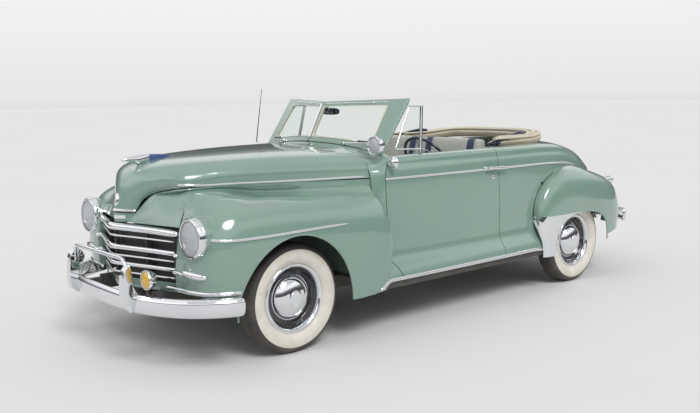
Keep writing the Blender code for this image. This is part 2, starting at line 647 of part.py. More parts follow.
def make_firewall():
    """The wall between engine and cabin."""
    vs = both_sides([0.05, 1, 2, 3, 4, 5, 6, 7, 8])
    outer = body_grid([FIREWALL_Y], vs)
    inner = offset(np.repeat(outer, 2, axis=0) + np.array((0, 0.01, 0)) * np.arange(2)[:, None, None],
                   -BODY_SHEET - 0.010, body_core(np.repeat(outer, 2, axis=0)))[0]
    inner[:, 2] = np.maximum(inner[:, 2], SILL_Z + SEAT_GAP)
    outline = inner[:, [0, 2]]
    return solid("firewall", *plate(outline, FIREWALL_Y, FIREWALL_Y + 0.014, 1), "paint")


def make_floor():
    """Floor pan with its rockers, rising behind the seats to the boot floor."""
    sections = []
    for y, top, half, step in FLOOR_STATIONS:
        low = top - FLOOR_SHEET
        foot = low - step
        inner = half - 0.09
        outline = ((-half, foot), (-inner, foot), (-inner, low), (inner, low), (inner, foot), (half, foot),
                   (half, top), (-half, top))
        sections.append([(x, y, z) for x, z in outline])
    return solid("floor_pan", *skin(sections), "chassis")


def make_rear_body():
    """Quarters, deck and tail in one, open over the cabin, at the boot lid and inside the fenders."""
    ys = np.concatenate([
        np.linspace(DOOR_REAR + SHUT_GAP / 2, ARCH_HOLE[0], 4),
        np.linspace(ARCH_HOLE[0], WELL_END, 3)[1:],
        LID_STATIONS,
        RIB_Y[-1:],
    ])
    vs = both_sides([*SIDE_LEVELS, WELL_LEVEL, LID_LEVEL, 7.3, V_CENTRE])
    outer = body_grid(ys, vs)
    y = 0.5 * (ys[1:] + ys[:-1])[:, None]
    v = 0.5 * (vs[1:] + vs[:-1])
    v = np.minimum(v, 2 * V_CENTRE - v)[None]
    arch = (y > ARCH_HOLE[0]) & (y < ARCH_HOLE[1]) & (v < ARCH_LEVEL)
    well = (y < WELL_END) & (v > WELL_LEVEL)
    lid = (y > LID_STATIONS[0]) & (y < LID_STATIONS[-1]) & (v > LID_LEVEL)
    keep = ~(arch | well | lid)
    inner = offset(outer, -BODY_SHEET, body_core(outer))
    inner[0, :, 1] = outer[0, :, 1]
    inner[..., 2] = np.maximum(inner[..., 2], outer[:, :1, 2])
    body = solid("rear_body", *between(outer, inner, keep), "paint")
    edge = body_grid(LID_STATIONS[:1] + SHUT_GAP, LID_LEVELS[:4])[0]
    end = np.interp(LID_PIN_X + PIN_HALF, edge[::-1, 0], edge[::-1, 1]) - SEAT_GAP
    top = LID_HINGE[1] - 0.008
    pin = block((LID_PIN_X - PIN_HALF, end - 0.016, top - 0.012), (LID_PIN_X + PIN_HALF, end, top))
    return combine(body, [placed(pin, mirror=side) for _, side in SIDES])


def make_trunk_lid():
    """Boot lid, hinged at its front edge."""
    ys = LID_STATIONS.copy()
    ys[0] += SHUT_GAP
    ys[-1] -= SHUT_GAP
    outer = body_grid(ys, LID_LEVELS)
    inner = offset(outer, -LID_SHEET, body_core(outer))
    inner[0, :, 1] = outer[0, :, 1]
    lid = solid("trunk_lid", *between(outer, inner), "paint")
    return hang(lid, (0.0, *LID_HINGE))


def make_door(name, side):
    """One door: outer skin with the flare at its foot, and a flat inner face."""
    vs = np.array([DOOR_LEVEL, *SIDE_LEVELS[1:]])
    starts = door_edge(vs) + SHUT_GAP / 2
    share = np.linspace(0, 1, 6)[:, None]
    ys = starts[None] + share * (DOOR_REAR - SHUT_GAP / 2 - starts)[None]
    outer = body_grid(ys, vs)
    inner = outer.copy()
    inner[..., 0] = np.minimum(outer[..., 0] - DOOR_THICK, CABIN_X)
    points, faces = between(outer, inner)
    door = solid(f"door_{name}", points * (side, 1, 1), faces, "paint")
    combine(door, [placed(foot_path(outer[0, vs <= DOOR_CUT_LEVELS[2]]), mirror=side)], "DIFFERENCE")
    return hang(door, (side * DOOR_HINGE_X, DOOR_FRONT, 0.70))


def foot_path(edge):
    """The space that the cowl's foot needs when the door swings: a cone round the hinge axis."""
    axis = np.array((DOOR_HINGE_X, DOOR_FRONT))
    radii = np.linalg.norm(edge[:, :2] - axis, axis=1) - DOOR_SWEEP_GAP
    radii[-1] = 0.010
    heights = edge[:, 2].copy()
    radii[0] += 0.02 * (radii[0] - radii[1]) / (heights[1] - heights[0])
    heights[0] -= 0.02
    return skin([np.insert(circle(r, 32) + axis, 2, z, axis=1) for z, r in zip(heights, radii)])


def hood_edge(t):
    """The hood's lower edge at fractional rib numbers."""
    return spline([row[2:5] for row in HOOD_RIBS], t)


def hood_grid():
    """Points of the hood's outer surface, nose to cowl and left to right."""
    ribs = spline(HOOD_RIBS, np.linspace(0, len(HOOD_RIBS) - 1, 17))
    turn = np.linspace(0, math.pi, 17)
    mid_y, mid_z, edge_x, edge_y, edge_z, power = (ribs[:, k, None] for k in range(6))
    rise = np.maximum(np.sin(turn), 0) ** power
    across = np.sign(np.cos(turn)) * np.abs(np.cos(turn)) ** power
    y = edge_y + (mid_y - edge_y) * rise
    return np.stack([edge_x * across, y, edge_z + (mid_z - edge_z) * rise], axis=2)


def make_hood():
    """Hood from nose to cowl, one piece that lifts from the front."""
    outer = hood_grid()
    core = outer * (0.0, 1.0, 0.0)
    core[..., 1] = np.clip(core[..., 1], -1.95, -1.0)
    core[..., 2] = 0.85
    inner = offset(outer, -LID_SHEET, core)
    inner[-1, :, 1] = outer[-1, :, 1]
    hood = solid("hood", *between(outer, inner), "paint")
    return hang(hood, (0.0, *HOOD_HINGE))


def front_fender_ribs():
    """The front fender's ribs with the strip that rises to the hood's edge."""
    steps = (0.0, 1.7, 3.1, 4.0, 4.9, 5.4, 5.85, 6.3, 6.6, 7.15, 7.5, 7.8, 8.0)
    rows = []
    for levels, t in zip(FRONT_FENDER_RIBS, steps):
        hem = hood_edge(t)[0] + np.array((0.003, 0.0, -HOOD_GAP))
        rows.append([*levels, tuple(hem)])
    return np.array(rows)


def make_front_fender(name, side):
    """One front fender, from the nose seam to the door, with its catwalk up to the hood."""
    us = np.concatenate([np.linspace(0, 5, 11), np.linspace(5, 10, 7)[1:], np.linspace(10, 12, 6)[1:]])
    vs = np.array([0, 0.5, 1, 1.5, 2, 2.5, 3, 3.5, 4, 4.5, 5, 6])
    outer = loft(front_fender_ribs(), us, vs)
    core = outer * (0.0, 1.0, 0.0)
    core[..., 0] = 0.55
    core[..., 1] = np.clip(core[..., 1], -1.95, -1.0)
    core[..., 2] = 0.60
    inner = offset(outer, -FENDER_SHEET, core)
    inner[0, :, 0] = outer[0, :, 0]
    outer = outside_body(outer, BODY_SEAT)
    inner = outside_body(inner, BODY_SEAT)
    points, faces = between(outer, inner)
    fender = solid(f"front_fender_{name}", points * (side, 1, 1), faces, "paint")
    radius = HEADLAMP_R + 2 * SEAT_GAP
    lamp = turned(((-0.30, 0), (-0.30, radius), (0.30, radius), (0.30, 0)), 20)
    lamp = placed(lamp, HEADLAMP, TURN_FORWARD)
    cuts = [arch_cutter(FRONT_ARCH, 0.80, 1.00), lamp, block(GRILLE_HOLE[0], GRILLE_HOLE[1])]
    return combine(fender, [placed(cut, mirror=side) for cut in cuts], "DIFFERENCE")


def arch_cutter(arch, near, far):
    """A wheel opening's outline carried along x: straight below its foot, a full curve above."""
    y, half, foot, top, fullness = arch
    turn = np.linspace(0, math.pi, 19)
    across = np.sign(np.cos(turn)) * np.abs(np.cos(turn)) ** (2 / fullness)
    rise = np.sin(turn) ** (2 / fullness)
    outline = [(y + half, foot - 0.3)]
    outline += [(y + half * c, foot + (top - foot) * r) for c, r in zip(across, rise)]
    outline.append((y - half, foot - 0.3))
    return plate(outline, near, far, 0)


def make_rear_fender(name, side):
    """One rear fender with its stalk lamp."""
    us = np.linspace(0, len(REAR_FENDER_RIBS) - 1, 17)
    vs = np.array([0, 0.5, 1, 1.5, 2, 2.5, 3, 3.5, 4, 5])
    outer = loft(REAR_FENDER_RIBS, us, vs)
    core = outer * (0.0, 1.0, 0.0)
    core[..., 0] = 0.60
    core[..., 1] = np.clip(core[..., 1], 1.25, 1.75)
    core[..., 2] = 0.50
    inner = offset(outer, -FENDER_SHEET, core)
    outer = outside_body(outer, 0.0012)
    inner = outside_body(inner, 0.0012)
    points, faces = between(outer, inner)
    fender = solid(f"rear_fender_{name}", points * (side, 1, 1), faces, "paint")
    fender = combine(fender, [placed(arch_cutter(REAR_ARCH, 0.80, 1.00), mirror=side)], "DIFFERENCE")
    profile = ((-0.16, 0), (-0.16, 0.012), (-0.04, 0.036), (0.0, 0.040), (0.012, 0.034), (0.018, 0))
    return combine(fender, [placed(turned(profile, 12), TAIL_LAMP, TURN_BACKWARD, side)])


TURN_FORWARD = ((0, 1, 0), (-1, 0, 0), (0, 0, 1))  # a turned shape's +x end faces -y
TURN_BACKWARD = ((0, -1, 0), (1, 0, 0), (0, 0, 1))  # a turned shape's +x end faces +y


def nose_curve(x):
    """How far forward the grille's face stands at a distance from the middle."""
    return GRILLE_Y + GRILLE_SWEEP * swept_back(x)


def swept_back(x):
    """Distance from the middle, rounded off at the prow."""
    return math.hypot(x, BOW) - BOW


def make_nose_panel():
    """The panel between hood lip and grille."""
    xs = np.linspace(-NOSE_HALF, NOSE_HALF, 9)
    rows = []
    for z, y, sweep_back in NOSE_ROWS:
        rows.append([(x, y + sweep_back * swept_back(x), z) for x in xs])
    outer = np.array(rows)
    inner = outer + np.array((0, 0.012, 0))
    return solid("nose_panel", *between(outer, inner), "paint")


def make_front_apron():
    """The plate below the grille."""
    xs = np.linspace(-GRILLE_HALF, GRILLE_HALF, 13)
    rows = []
    for z, back in ((APRON_Z, 0.022), (0.470, 0.012), (0.5006, 0.010)):
        rows.append([(x, nose_curve(x) + back, z) for x in xs])
    outer = np.array(rows)
    inner = outer + np.array((0, 0.010, 0))
    return solid("front_apron", *between(outer, inner), "paint")


def make_grille():
    """Cross bars with a swelling face, joined by upright ribs behind."""
    half = [0.02, 0.25, 0.49, 0.52, 0.75, 0.97, 1.0]
    xs = np.array([-x for x in reversed(half)] + half) * (GRILLE_HALF - 0.002)
    posts = {0, 3, 6, 9, 12}
    rows, kept = [], []
    for k, (top, height, swell) in enumerate(GRILLE_BARS):
        faces = (0.3, 0.7) if height > 0.02 else (0.5,)
        for share in (0.0, *faces, 1.0):
            forward = swell if 0 < share < 1 else 0.0
            rows.append([(x, nose_curve(x) - forward + 0.004, top - share * height) for x in xs])
        kept += [True] * (len(faces) + 1)
        if k < len(GRILLE_BARS) - 1:
            kept.append(False)
    outer = np.array(rows)
    inner = outer.copy()
    inner[..., 1] = np.array([nose_curve(x) for x in xs])[None] + GRILLE_DEPTH
    keep = np.array([[bar or j in posts for j in range(len(xs) - 1)] for bar in kept])
    return solid("grille", *between(outer, inner, keep), "chrome")


def make_windshield():
    """The windshield frame in a shallow V with a bar in its middle, and the glass in it."""
    xs = np.array([-1, -0.93, -0.798, -0.532, -0.022, 0.022, 0.532, 0.798, 0.93, 1])
    heights = np.array([0.0, 0.12, 0.5, 0.885, 1.0])
    outer = screen_grid(xs, heights)
    inner = outer + np.array((0, FRAME_DEPTH, 0))
    keep = np.ones((len(heights) - 1, len(xs) - 1), bool)
    keep[1:3, [1, 2, 3, 5, 6, 7]] = False
    solid("windshield_frame", *between(outer, inner, keep), "paint")
    xs = xs[1:5] + np.array((0.0015, 0, 0, -0.0015))
    for name, side in SIDES:
        glass = screen_grid(xs, np.array([0.1215, 0.5, 0.8835])) + np.array((0, 0.010, 0))
        points, faces = between(glass, glass + np.array((0, 0.006, 0)))
        solid(f"windshield_glass_{name}", points * (-side, 1, 1), faces, "glass")


def screen_grid(across, heights):
    """Points of the windshield's face; across runs from -1 to 1 and heights from 0 to 1."""
    rows = []
    for h in heights:
        row = []
        for s in across:
            bottom = screen_foot(s)
            top_y = SCREEN_TOP_Y + SCREEN_TOP_SWEEP * abs(s)
            top = np.array((SCREEN_TOP_X * s, top_y, SCREEN_TOP_Z + 0.019 * abs(s)))
            row.append(bottom + (top - bottom) * h)
        rows.append(row)
    return np.array(rows)


def screen_foot(share):
    """A point of the windshield's foot, just above the cowl."""
    level = V_CENTRE - (V_CENTRE - SCREEN_LEVEL) * abs(share)
    edge = body_grid([[DOOR_FRONT - 0.034], [DOOR_FRONT - 0.006]], [level])[:, 0]
    return np.array((edge[0, 0] * (1 if share >= 0 else -1), edge[0, 1], edge[:, 2].max() + SCREEN_FOOT_GAP))


def make_vent_window(name, side):
    """The small pane and its post on the door, behind the windshield."""
    feet = [(y, body_grid([y], [BELT_LEVEL])[0, 0, 2]) for y in (VENT_FRONT_FOOT, VENT_REAR_FOOT)]
    outline = (*feet, (VENT_REAR_TOP, VENT_TOP_Z), (VENT_REAR_TOP - 0.11, VENT_TOP_Z))
    low, high = [], []
    for y, z in outline:
        lean = (z - BELT_Z) / (VENT_TOP_Z - BELT_Z) * VENT_LEAN
        low.append((side * (VENT_X - lean), y, z))
        high.append((side * (VENT_X - 0.014 - lean), y, z))
    pane = solid(f"vent_window_{name}", *skin([low, high]), "glass")
    return hang(pane, (side * DOOR_HINGE_X, DOOR_FRONT, 0.70))


def make_bumper(name, path, mid_z, rail_end, guards):
    """A bumper blade with its guards and the irons that carry it."""
    left = np.array(path)
    blade = np.concatenate([left[::-1] * (-1, 1), left[1:]])
    blade = spline(blade, np.linspace(0, len(blade) - 1, 19))
    points = np.insert(blade, 2, mid_z, axis=1)
    face = 1.0 if path[0][1] < 0 else -1.0
    section = np.array([(0.000, 0.057), (0.018, 0.040), (0.028, 0.012), (0.028, -0.012), (0.018, -0.040),
                        (0.000, -0.057), (0.008, -0.012), (0.008, 0.012)])
    section[:, 0] *= face
    bumper = solid(name, *sweep(points, section), "chrome")
    irons = []
    reach = np.interp(RAIL_X, left[:, 0], left[:, 1]) - face * 0.016
    for _, side in SIDES:
        near, far = sorted((reach, rail_end - face * SEAT_GAP))
        iron = block((RAIL_X - 0.022, near, mid_z - 0.020), (RAIL_X + 0.022, far, mid_z + 0.020))
        irons.append(placed(iron, mirror=side))
    return combine(bumper, irons + guards)


def front_guards():
    """Guards, hoop and fog lamps of the front bumper."""
    shapes = []
    for _, side in SIDES:
        x = GUARD_X
        outline = [(FRONT_END + y, z) for y, z in GUARD]
        shapes.append(placed(plate(outline, x - 0.026, x + 0.026, 0), mirror=side))
        stalk = skin([np.insert(circle(0.012, 8), 2, z, axis=1) for z in (0.440, 0.520)])
        shapes.append(placed(stalk, (FOG_X, FRONT_END + 0.108, 0), mirror=side))
        lamp = turned(FOG_LAMP, 12)
        shapes.append(placed(lamp, (FOG_X, FRONT_END + 0.108, FOG_Z), TURN_FORWARD, side))
    turn = np.linspace(0, math.pi / 2, 5)
    corner = [(HOOP_X - 0.05 + 0.05 * math.cos(a), HOOP_Z - 0.05 + 0.05 * math.sin(a)) for a in turn]
    half = [(HOOP_X, 0.560), *corner]
    half += [(-x, z) for x, z in reversed(half)]
    shapes.append(tube([(x, FRONT_END + 0.045, z) for x, z in half], 0.013, 8))
    return shapes


def rear_guards():
    """Guards of the rear bumper."""
    guard = plate([(REAR_END - y, z) for y, z in REAR_GUARD], GUARD_X - 0.025, GUARD_X + 0.025, 0)
    return [placed(guard, mirror=side) for _, side in SIDES]


def tube(path, radius, count):
    """A round bar along a path in any direction."""
    path = np.asarray(path, float)
    along = np.gradient(path, axis=0)
    along /= np.linalg.norm(along, axis=1, keepdims=True)
    radii = np.broadcast_to(radius, len(path))
    reference = np.eye(3)[np.argmin(np.abs(along).max(axis=0))]
    sections = []
    for point, direction, size in zip(path, along, radii):
        first = np.cross(direction, reference)
        first /= np.linalg.norm(first)
        second = np.cross(first, direction)
        ring = circle(size, count)
        sections.append([point + a * first + b * second for a, b in ring])
    return skin(sections)


def make_headlamp(name, side):
    """One headlamp: lens, rim and bucket."""
    r = HEADLAMP_R
    profile = ((-0.120, 0), (-0.115, 0.060), (-0.060, r - 0.002), (0.018, r), (0.030, r - 0.004),
               (0.034, r - 0.014), (0.030, r - 0.018), (0.044, 0.060), (0.050, 0))
    lamp = placed(turned(profile, 20), HEADLAMP, TURN_FORWARD, side)
    return solid(f"headlamp_{name}", *lamp, "chrome")


def make_seats():
    """Front bench, its two folding backs, and the rear seat."""
    solid("front_seat", *plate(FRONT_SEAT, -0.655, 0.655, 0), "upholstery")
    pins = []
    hinge_y, hinge_z = SEAT_HINGE
    for _, side in SIDES:
        pin = plate(circle(0.0056, 8) + (hinge_y, hinge_z), 0.10, 0.58, 0)
        foot = block((0.10, hinge_y - 0.004, hinge_z - 0.012), (0.58, hinge_y + 0.004, hinge_z - 0.003))
        pins += [placed(pin, mirror=side), placed(foot, mirror=side)]
    combine(bpy.data.objects["front_seat"], pins)
    for name, side in SIDES:
        back = placed(plate(SEAT_BACK, 0.004, 0.615, 0), mirror=side)
        hang(solid(f"seat_back_{name}", *back, "upholstery"), (side * 0.33, *SEAT_HINGE))
    solid("rear_seat", *plate(REAR_SEAT, -0.585, 0.585, 0), "upholstery")


def make_dashboard():
    """Dashboard across the cabin, held at its ends by the cowl."""
    end = side_x(DASH_Y - 0.01, 0.965) - BODY_SHEET + 0.0010
    lug = ((DASH_Y, 0.945), (DASH_Y, 0.955), (DASH_Y + 0.015, 0.965), (DASH_Y + 0.030, 0.965),
           (DASH_Y + 0.035, 0.955), (DASH_Y + 0.030, 0.945))
    sections = []
    for x, outline in ((-end, lug), (-0.700, lug), (-0.690, DASH), (0.690, DASH), (0.700, lug), (end, lug)):
        sections.append([(x, y, z) for y, z in outline])
    return solid("dashboard", *skin(sections), "trim")


def make_steering():
    """Steering wheel on its inclined column."""
    along = np.array((0.0, math.cos(COLUMN_ANGLE), math.sin(COLUMN_ANGLE)))
    turn = np.stack([along, (1.0, 0.0, 0.0), np.cross(along, (1.0, 0.0, 0.0))], axis=1)
    ring = [(STEER_RIM * math.sin(a), STEER_R + STEER_RIM * math.cos(a)) for a in np.arange(6) * math.pi / 3]
    wheel = solid("steering_wheel", *placed(turned(ring, 24, ring=True), turn=turn), "plastic")
    hub = turned(STEER_HUB, 12)
    spoke = block((-0.010, -STEER_R, -0.010), (-0.002, STEER_R, 0.010))
    post = block((-0.010, -0.010, -STEER_R), (-0.002, 0.010, 0.0))
    combine(wheel, [placed(shape, turn=turn) for shape in (hub, spoke, post)])
    wheel.location = STEER_CENTRE
    wall = FIREWALL_Y + 0.014 + SEAT_GAP
    reach = (STEER_CENTRE[1] - wall - COLUMN_R * math.sin(COLUMN_ANGLE)) / math.cos(COLUMN_ANGLE)
    column = turned(((-reach, 0), (-reach, COLUMN_R), (-0.0504, COLUMN_R), (-0.0504, 0)), 12)
    solid("steering_column", *placed(column, STEER_CENTRE, turn), "trim")


def make_folded_top():
    """The lowered soft top: bows and cloth across the back, rails along the sides."""
    half = list(TOP_PATH)
    path = half + [TOP_MIDDLE] + [(-x, y, z) for x, y, z in reversed(half)]
    path = spline(path, np.linspace(0, len(path) - 1, 19))
    section = ((-0.050, -0.035), (0.050, -0.035), (0.062, 0.000), (0.050, 0.028), (0.0, 0.036),
               (-0.050, 0.028), (-0.062, 0.0))
    share = np.abs(np.linspace(-1, 1, 19))
    return solid("folded_top", *sweep(path, section, 1.15 - 0.65 * share), "canvas")


def make_chassis():
    """Frame rails, kicked up over both axles, with their cross members."""
    half_h = RAIL_H / 2
    path = [(RAIL_X, y, top - half_h) for y, top in RAIL_STATIONS]
    section = ((-0.03, -half_h), (0.03, -half_h), (0.03, half_h), (-0.03, half_h))
    rails = [placed(sweep(path, section), mirror=side) for _, side in SIDES]
    frame = solid("chassis_frame", *rails[0], "chassis")
    members = [rails[1]]
    for y, top, depth, half in CROSS_MEMBERS:
        members.append(block((-half, y - 0.045, top - depth), (half, y + 0.045, top)))
    return combine(frame, members)


def make_front_suspension():
    """Front cross member with its arms and the king pins."""
    z = TYRE_RADIUS
    body = block((-0.30, FRONT_AXLE - 0.075, 0.240), (0.30, FRONT_AXLE + 0.075, CRADLE_TOP))
    obj = solid("front_suspension", *body, "chassis")
    shapes = []
    for _, side in SIDES:
        arms = ((z - ARM_Z - 0.026, z - ARM_Z, 0.24), (z + ARM_Z, z + ARM_Z + 0.024, RAIL_X + 0.0304))
        for low, high, root in arms:
            outline = ((KINGPIN_X + 0.008, FRONT_AXLE - 0.010), (KINGPIN_X + 0.008, FRONT_AXLE + 0.010),
                       (root, FRONT_AXLE + 0.110), (root, FRONT_AXLE - 0.110))
            shapes.append(placed(plate(outline, low, high, 2), mirror=side))
        ends = (z - ARM_Z - 0.02, z + ARM_Z + 0.02)
        pin = skin([np.insert(circle(KINGPIN_R, 16), 2, h, axis=1) for h in ends])
        shapes.append(placed(pin, (KINGPIN_X, FRONT_AXLE, 0), mirror=side))
    return combine(obj, shapes)


def make_knuckle(name, side):
    """One steering knuckle: sleeve on the king pin, backing plate and wheel spindle."""
    half = ARM_Z - SEAT_GAP
    sleeve = skin([np.insert(circle(0.022, 16), 2, h, axis=1) for h in (-half, half)])
    knuckle = solid(f"knuckle_{name}", *sleeve, "chassis")
    hub = FRONT_TRACK / 2 - KINGPIN_X
    back = hub - DRUM_FACE - 0.008
    face = hub - DRUM_FACE - 0.0035
    plate_r = DRUM_R - 0.004
    end = hub + BORE_END - SEAT_GAP
    arm = turned(((0.015, 0), (0.015, SPINDLE_R), (back, SPINDLE_R), (back, plate_r), (face, plate_r),
                  (face, SPINDLE_R), (end, SPINDLE_R), (end, 0)), 16)
    combine(knuckle, [placed(arm, mirror=side)])
    ends = (-half - 0.05, half + 0.05)
    bore = skin([np.insert(circle(KINGPIN_R + 0.0006, 16), 2, h, axis=1) for h in ends])
    combine(knuckle, [bore], "DIFFERENCE")
    knuckle.location = (side * KINGPIN_X, FRONT_AXLE, TYRE_RADIUS)


def make_rear_axle():
    """Rear axle with its differential, propeller shaft and leaf springs."""
    end = REAR_TRACK / 2 + BORE_END - SEAT_GAP
    plate_x = REAR_TRACK / 2 - DRUM_FACE - 0.0035
    half = ((0.0, 0.140), (0.080, 0.125), (0.130, 0.060), (0.170, 0.042), (plate_x - 0.005, 0.042),
            (plate_x - 0.005, DRUM_R - 0.004), (plate_x, DRUM_R - 0.004), (plate_x, SPINDLE_R),
            (end, SPINDLE_R), (end, 0))
    profile = [(-x, r) for x, r in reversed(half)] + list(half[1:])
    axle = solid("rear_axle", *placed(turned(profile, 14), (0, REAR_AXLE, TYRE_RADIUS)), "chassis")
    front = (0, GEARBOX_END + SEAT_GAP, SHAFT_Z)
    path = [(0, REAR_AXLE - 0.05, TYRE_RADIUS - 0.02), (0, 0.95, SHAFT_Z), front]
    shapes = [tube(path, 0.030, 10)]
    leaf = ((-0.022, -0.014), (0.022, -0.014), (0.022, 0.014), (-0.022, 0.014))
    for _, side in SIDES:
        path = [(SPRING_X, y, z) for y, z in SPRING_PATH]
        path = spline(path, np.linspace(0, len(path) - 1, 7))
        shapes.append(placed(sweep(path, leaf), mirror=side))
        pad = block((SPRING_X - 0.03, REAR_AXLE - 0.05, 0.300), (SPRING_X + 0.03, REAR_AXLE + 0.05, 0.345))
        shapes.append(placed(pad, mirror=side))
    return combine(axle, shapes)


def make_running_gear():
    """Engine, radiator, fuel tank and exhaust."""
    outline = ((-0.17, CRADLE_TOP + SEAT_GAP), (0.17, CRADLE_TOP + SEAT_GAP), (0.20, 0.48), (0.17, 0.80),
               (0.10, 0.93), (-0.10, 0.93), (-0.17, 0.80), (-0.20, 0.48))
    engine = solid("engine_block", *plate(outline, ENGINE_Y[0], ENGINE_Y[1], 1), "engine")
    housing = block((-0.13, ENGINE_Y[1] - 0.16, 0.200), (0.13, ENGINE_Y[1] + 0.06, 0.600))
    gearbox = block((-0.09, ENGINE_Y[1], 0.200), (0.09, GEARBOX_END, 0.2946))
    combine(engine, [housing, gearbox])
    solid("radiator", *block((-0.300, -2.060, 0.4404), (0.300, -1.990, 0.930)), "chassis")
    solid("fuel_tank", *block((-RAIL_X + 0.0304, 1.80, 0.310), (RAIL_X - 0.0304, 2.12, 0.4546)), "chassis")
    path = [(EXHAUST_X, y, z) for y, z in EXHAUST_PATH]
    solid("exhaust", *tube(path, EXHAUST_R, 10), "chassis")


def make_wheel(name, x, y, side):
    """One wheel with rim, disc, hubcap and drum, and the tyre on it."""
    r = RIM_RADIUS
    profile = (
        (0.078, 0), (0.072, 0.060), (0.054, 0.110), (0.026, 0.137), (0.006, 0.172),
        (0.010, 0.190), (0.062, r - 0.002), (0.062, r + 0.017), (0.0562, r + 0.017), (0.0562, r),
        (-0.0562, r), (-0.0562, r + 0.017), (-0.062, r + 0.017), (-0.062, r - 0.006), (-0.004, r - 0.018),
        (-0.004, DRUM_R), (-DRUM_FACE, DRUM_R), (-DRUM_FACE, BORE_R), (BORE_END, BORE_R), (BORE_END, 0),
    )
    turn = Matrix.Rotation(0.0 if side > 0 else math.pi, 3, "Z")
    wheel = solid(f"wheel_{name}", *placed(turned(profile, WHEEL_SIDES, half_step=True), turn=turn), "wheel")
    wheel.location = (side * x, y, TYRE_RADIUS)
    w = TYRE_WIDTH / 2
    gap = SEAT_GAP
    tread = TYRE_RADIUS / math.cos(math.pi / WHEEL_SIDES)
    half = ((0.0558, r + gap), (0.0558, r + 0.020), (w - 0.008, r + 0.040), (w, 0.282), (w - 0.006, 0.324),
            (w - 0.024, tread - 0.006))
    ring = list(half) + [(0.0, tread)] + [(-h, q) for h, q in reversed(half)]
    tyre = solid(f"tyre_{name}", *placed(turned(ring, WHEEL_SIDES, True, True), turn=turn), "tyre")
    tyre.location = wheel.location


def make_fittings():
    """Spot lamp, door mirror and aerial."""
    lamp = turned(((-0.075, 0), (-0.070, 0.022), (-0.045, 0.052), (-0.010, 0.066), (0.008, 0.066),
                   (0.016, 0.054), (0.022, 0)), 16)
    foot, normal = seat(screen_grid((0.93, 1.0), (0.0, 0.12)), 0.5, 0.7)
    stem = tube([(SPOT[0], SPOT[1] + 0.05, SPOT[2]), foot + normal * 0.02, foot], 0.009, 8)
    combine(solid("spot_lamp", *placed(lamp, SPOT, TURN_FORWARD), "chrome"), [stem])
    mirror = turned(((-0.018, 0), (-0.012, 0.034), (0.0, 0.046), (0.006, 0.046), (0.006, 0)), 14)
    head = placed(mirror, MIRROR, TURN_BACKWARD)
    foot, normal = seat(body_grid([DOOR_FRONT + SHUT_GAP / 2, -0.5052], [4.5, 5.0]), 0.35, 0.4)
    arm = tube([(MIRROR[0], MIRROR[1] - 0.010, MIRROR[2] - 0.01), foot + normal * 0.03, foot], 0.006, 8)
    hang(combine(solid("door_mirror", *head, "chrome"), [arm]), (DOOR_HINGE_X, DOOR_FRONT, 0.70))
    third = (DOOR_FRONT - SHUT_GAP / 2 - RIB_Y[0]) / 3
    foot, normal = seat(body_grid([RIB_Y[0], RIB_Y[0] + third], [6.0, 6.5]), 0.35, 0.5)
    path = [foot, foot + normal * 0.012, foot + normal * 0.012 + (0, 0, 0.03), foot + AERIAL_TIP]
    solid("aerial", *placed(tube(path, [0.012, 0.009, 0.005, 0.003], 8), mirror=-1), "chrome")


def main():
    """Builds every piece in an empty scene."""
    for obj in list(bpy.data.objects):
        bpy.data.objects.remove(obj)
    make_cowl()
    make_firewall()
    make_floor()
    make_rear_body()
    make_trunk_lid()
    make_hood()
    make_nose_panel()
    make_front_apron()
    make_grille()
    make_windshield()
    make_bumper("front_bumper", FRONT_BLADE, 0.404, RAIL_STATIONS[0][0], front_guards())
    make_bumper("rear_bumper", REAR_BLADE, 0.484, RAIL_STATIONS[-1][0], rear_guards())
    make_seats()
    make_dashboard()
    make_steering()
    make_folded_top()
    make_chassis()
    make_front_suspension()
    make_rear_axle()
    make_running_gear()
    make_fittings()
    for name, side in SIDES:
        make_door(name, side)
        make_front_fender(name, side)
        make_rear_fender(name, side)
        make_vent_window(name, side)
        make_headlamp(name, side)
        make_knuckle(name, side)
        make_wheel(f"front_{name}", FRONT_TRACK / 2, FRONT_AXLE, side)
        make_wheel(f"rear_{name}", REAR_TRACK / 2, REAR_AXLE, side)


main()
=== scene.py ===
"""Dresses a full-size two-door convertible: paint, bright trim, lamps, glass, cabin, soft top and wheels."""
import json
import logging
import math
from collections.abc import Callable
from dataclasses import dataclass
from enum import Enum

import bpy
import numpy as np
from mathutils import Matrix

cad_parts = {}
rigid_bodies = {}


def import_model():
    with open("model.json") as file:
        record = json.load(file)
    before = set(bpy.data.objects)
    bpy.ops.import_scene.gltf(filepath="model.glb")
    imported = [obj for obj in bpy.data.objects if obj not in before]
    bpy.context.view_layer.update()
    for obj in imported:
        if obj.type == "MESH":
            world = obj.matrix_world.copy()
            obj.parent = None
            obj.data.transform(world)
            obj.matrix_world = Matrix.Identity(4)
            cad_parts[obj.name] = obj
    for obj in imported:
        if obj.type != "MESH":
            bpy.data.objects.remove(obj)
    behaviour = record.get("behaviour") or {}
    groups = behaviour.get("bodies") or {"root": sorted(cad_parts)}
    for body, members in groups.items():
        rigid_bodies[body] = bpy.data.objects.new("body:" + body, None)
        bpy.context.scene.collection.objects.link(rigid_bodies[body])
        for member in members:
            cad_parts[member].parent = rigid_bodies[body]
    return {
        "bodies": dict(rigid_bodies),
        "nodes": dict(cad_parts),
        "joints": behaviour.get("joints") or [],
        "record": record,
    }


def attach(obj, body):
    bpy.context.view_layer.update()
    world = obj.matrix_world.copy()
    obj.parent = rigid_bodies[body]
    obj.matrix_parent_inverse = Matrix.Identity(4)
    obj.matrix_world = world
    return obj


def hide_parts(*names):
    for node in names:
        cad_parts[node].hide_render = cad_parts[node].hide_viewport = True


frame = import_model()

Array = np.ndarray
log = logging.getLogger("convertible")


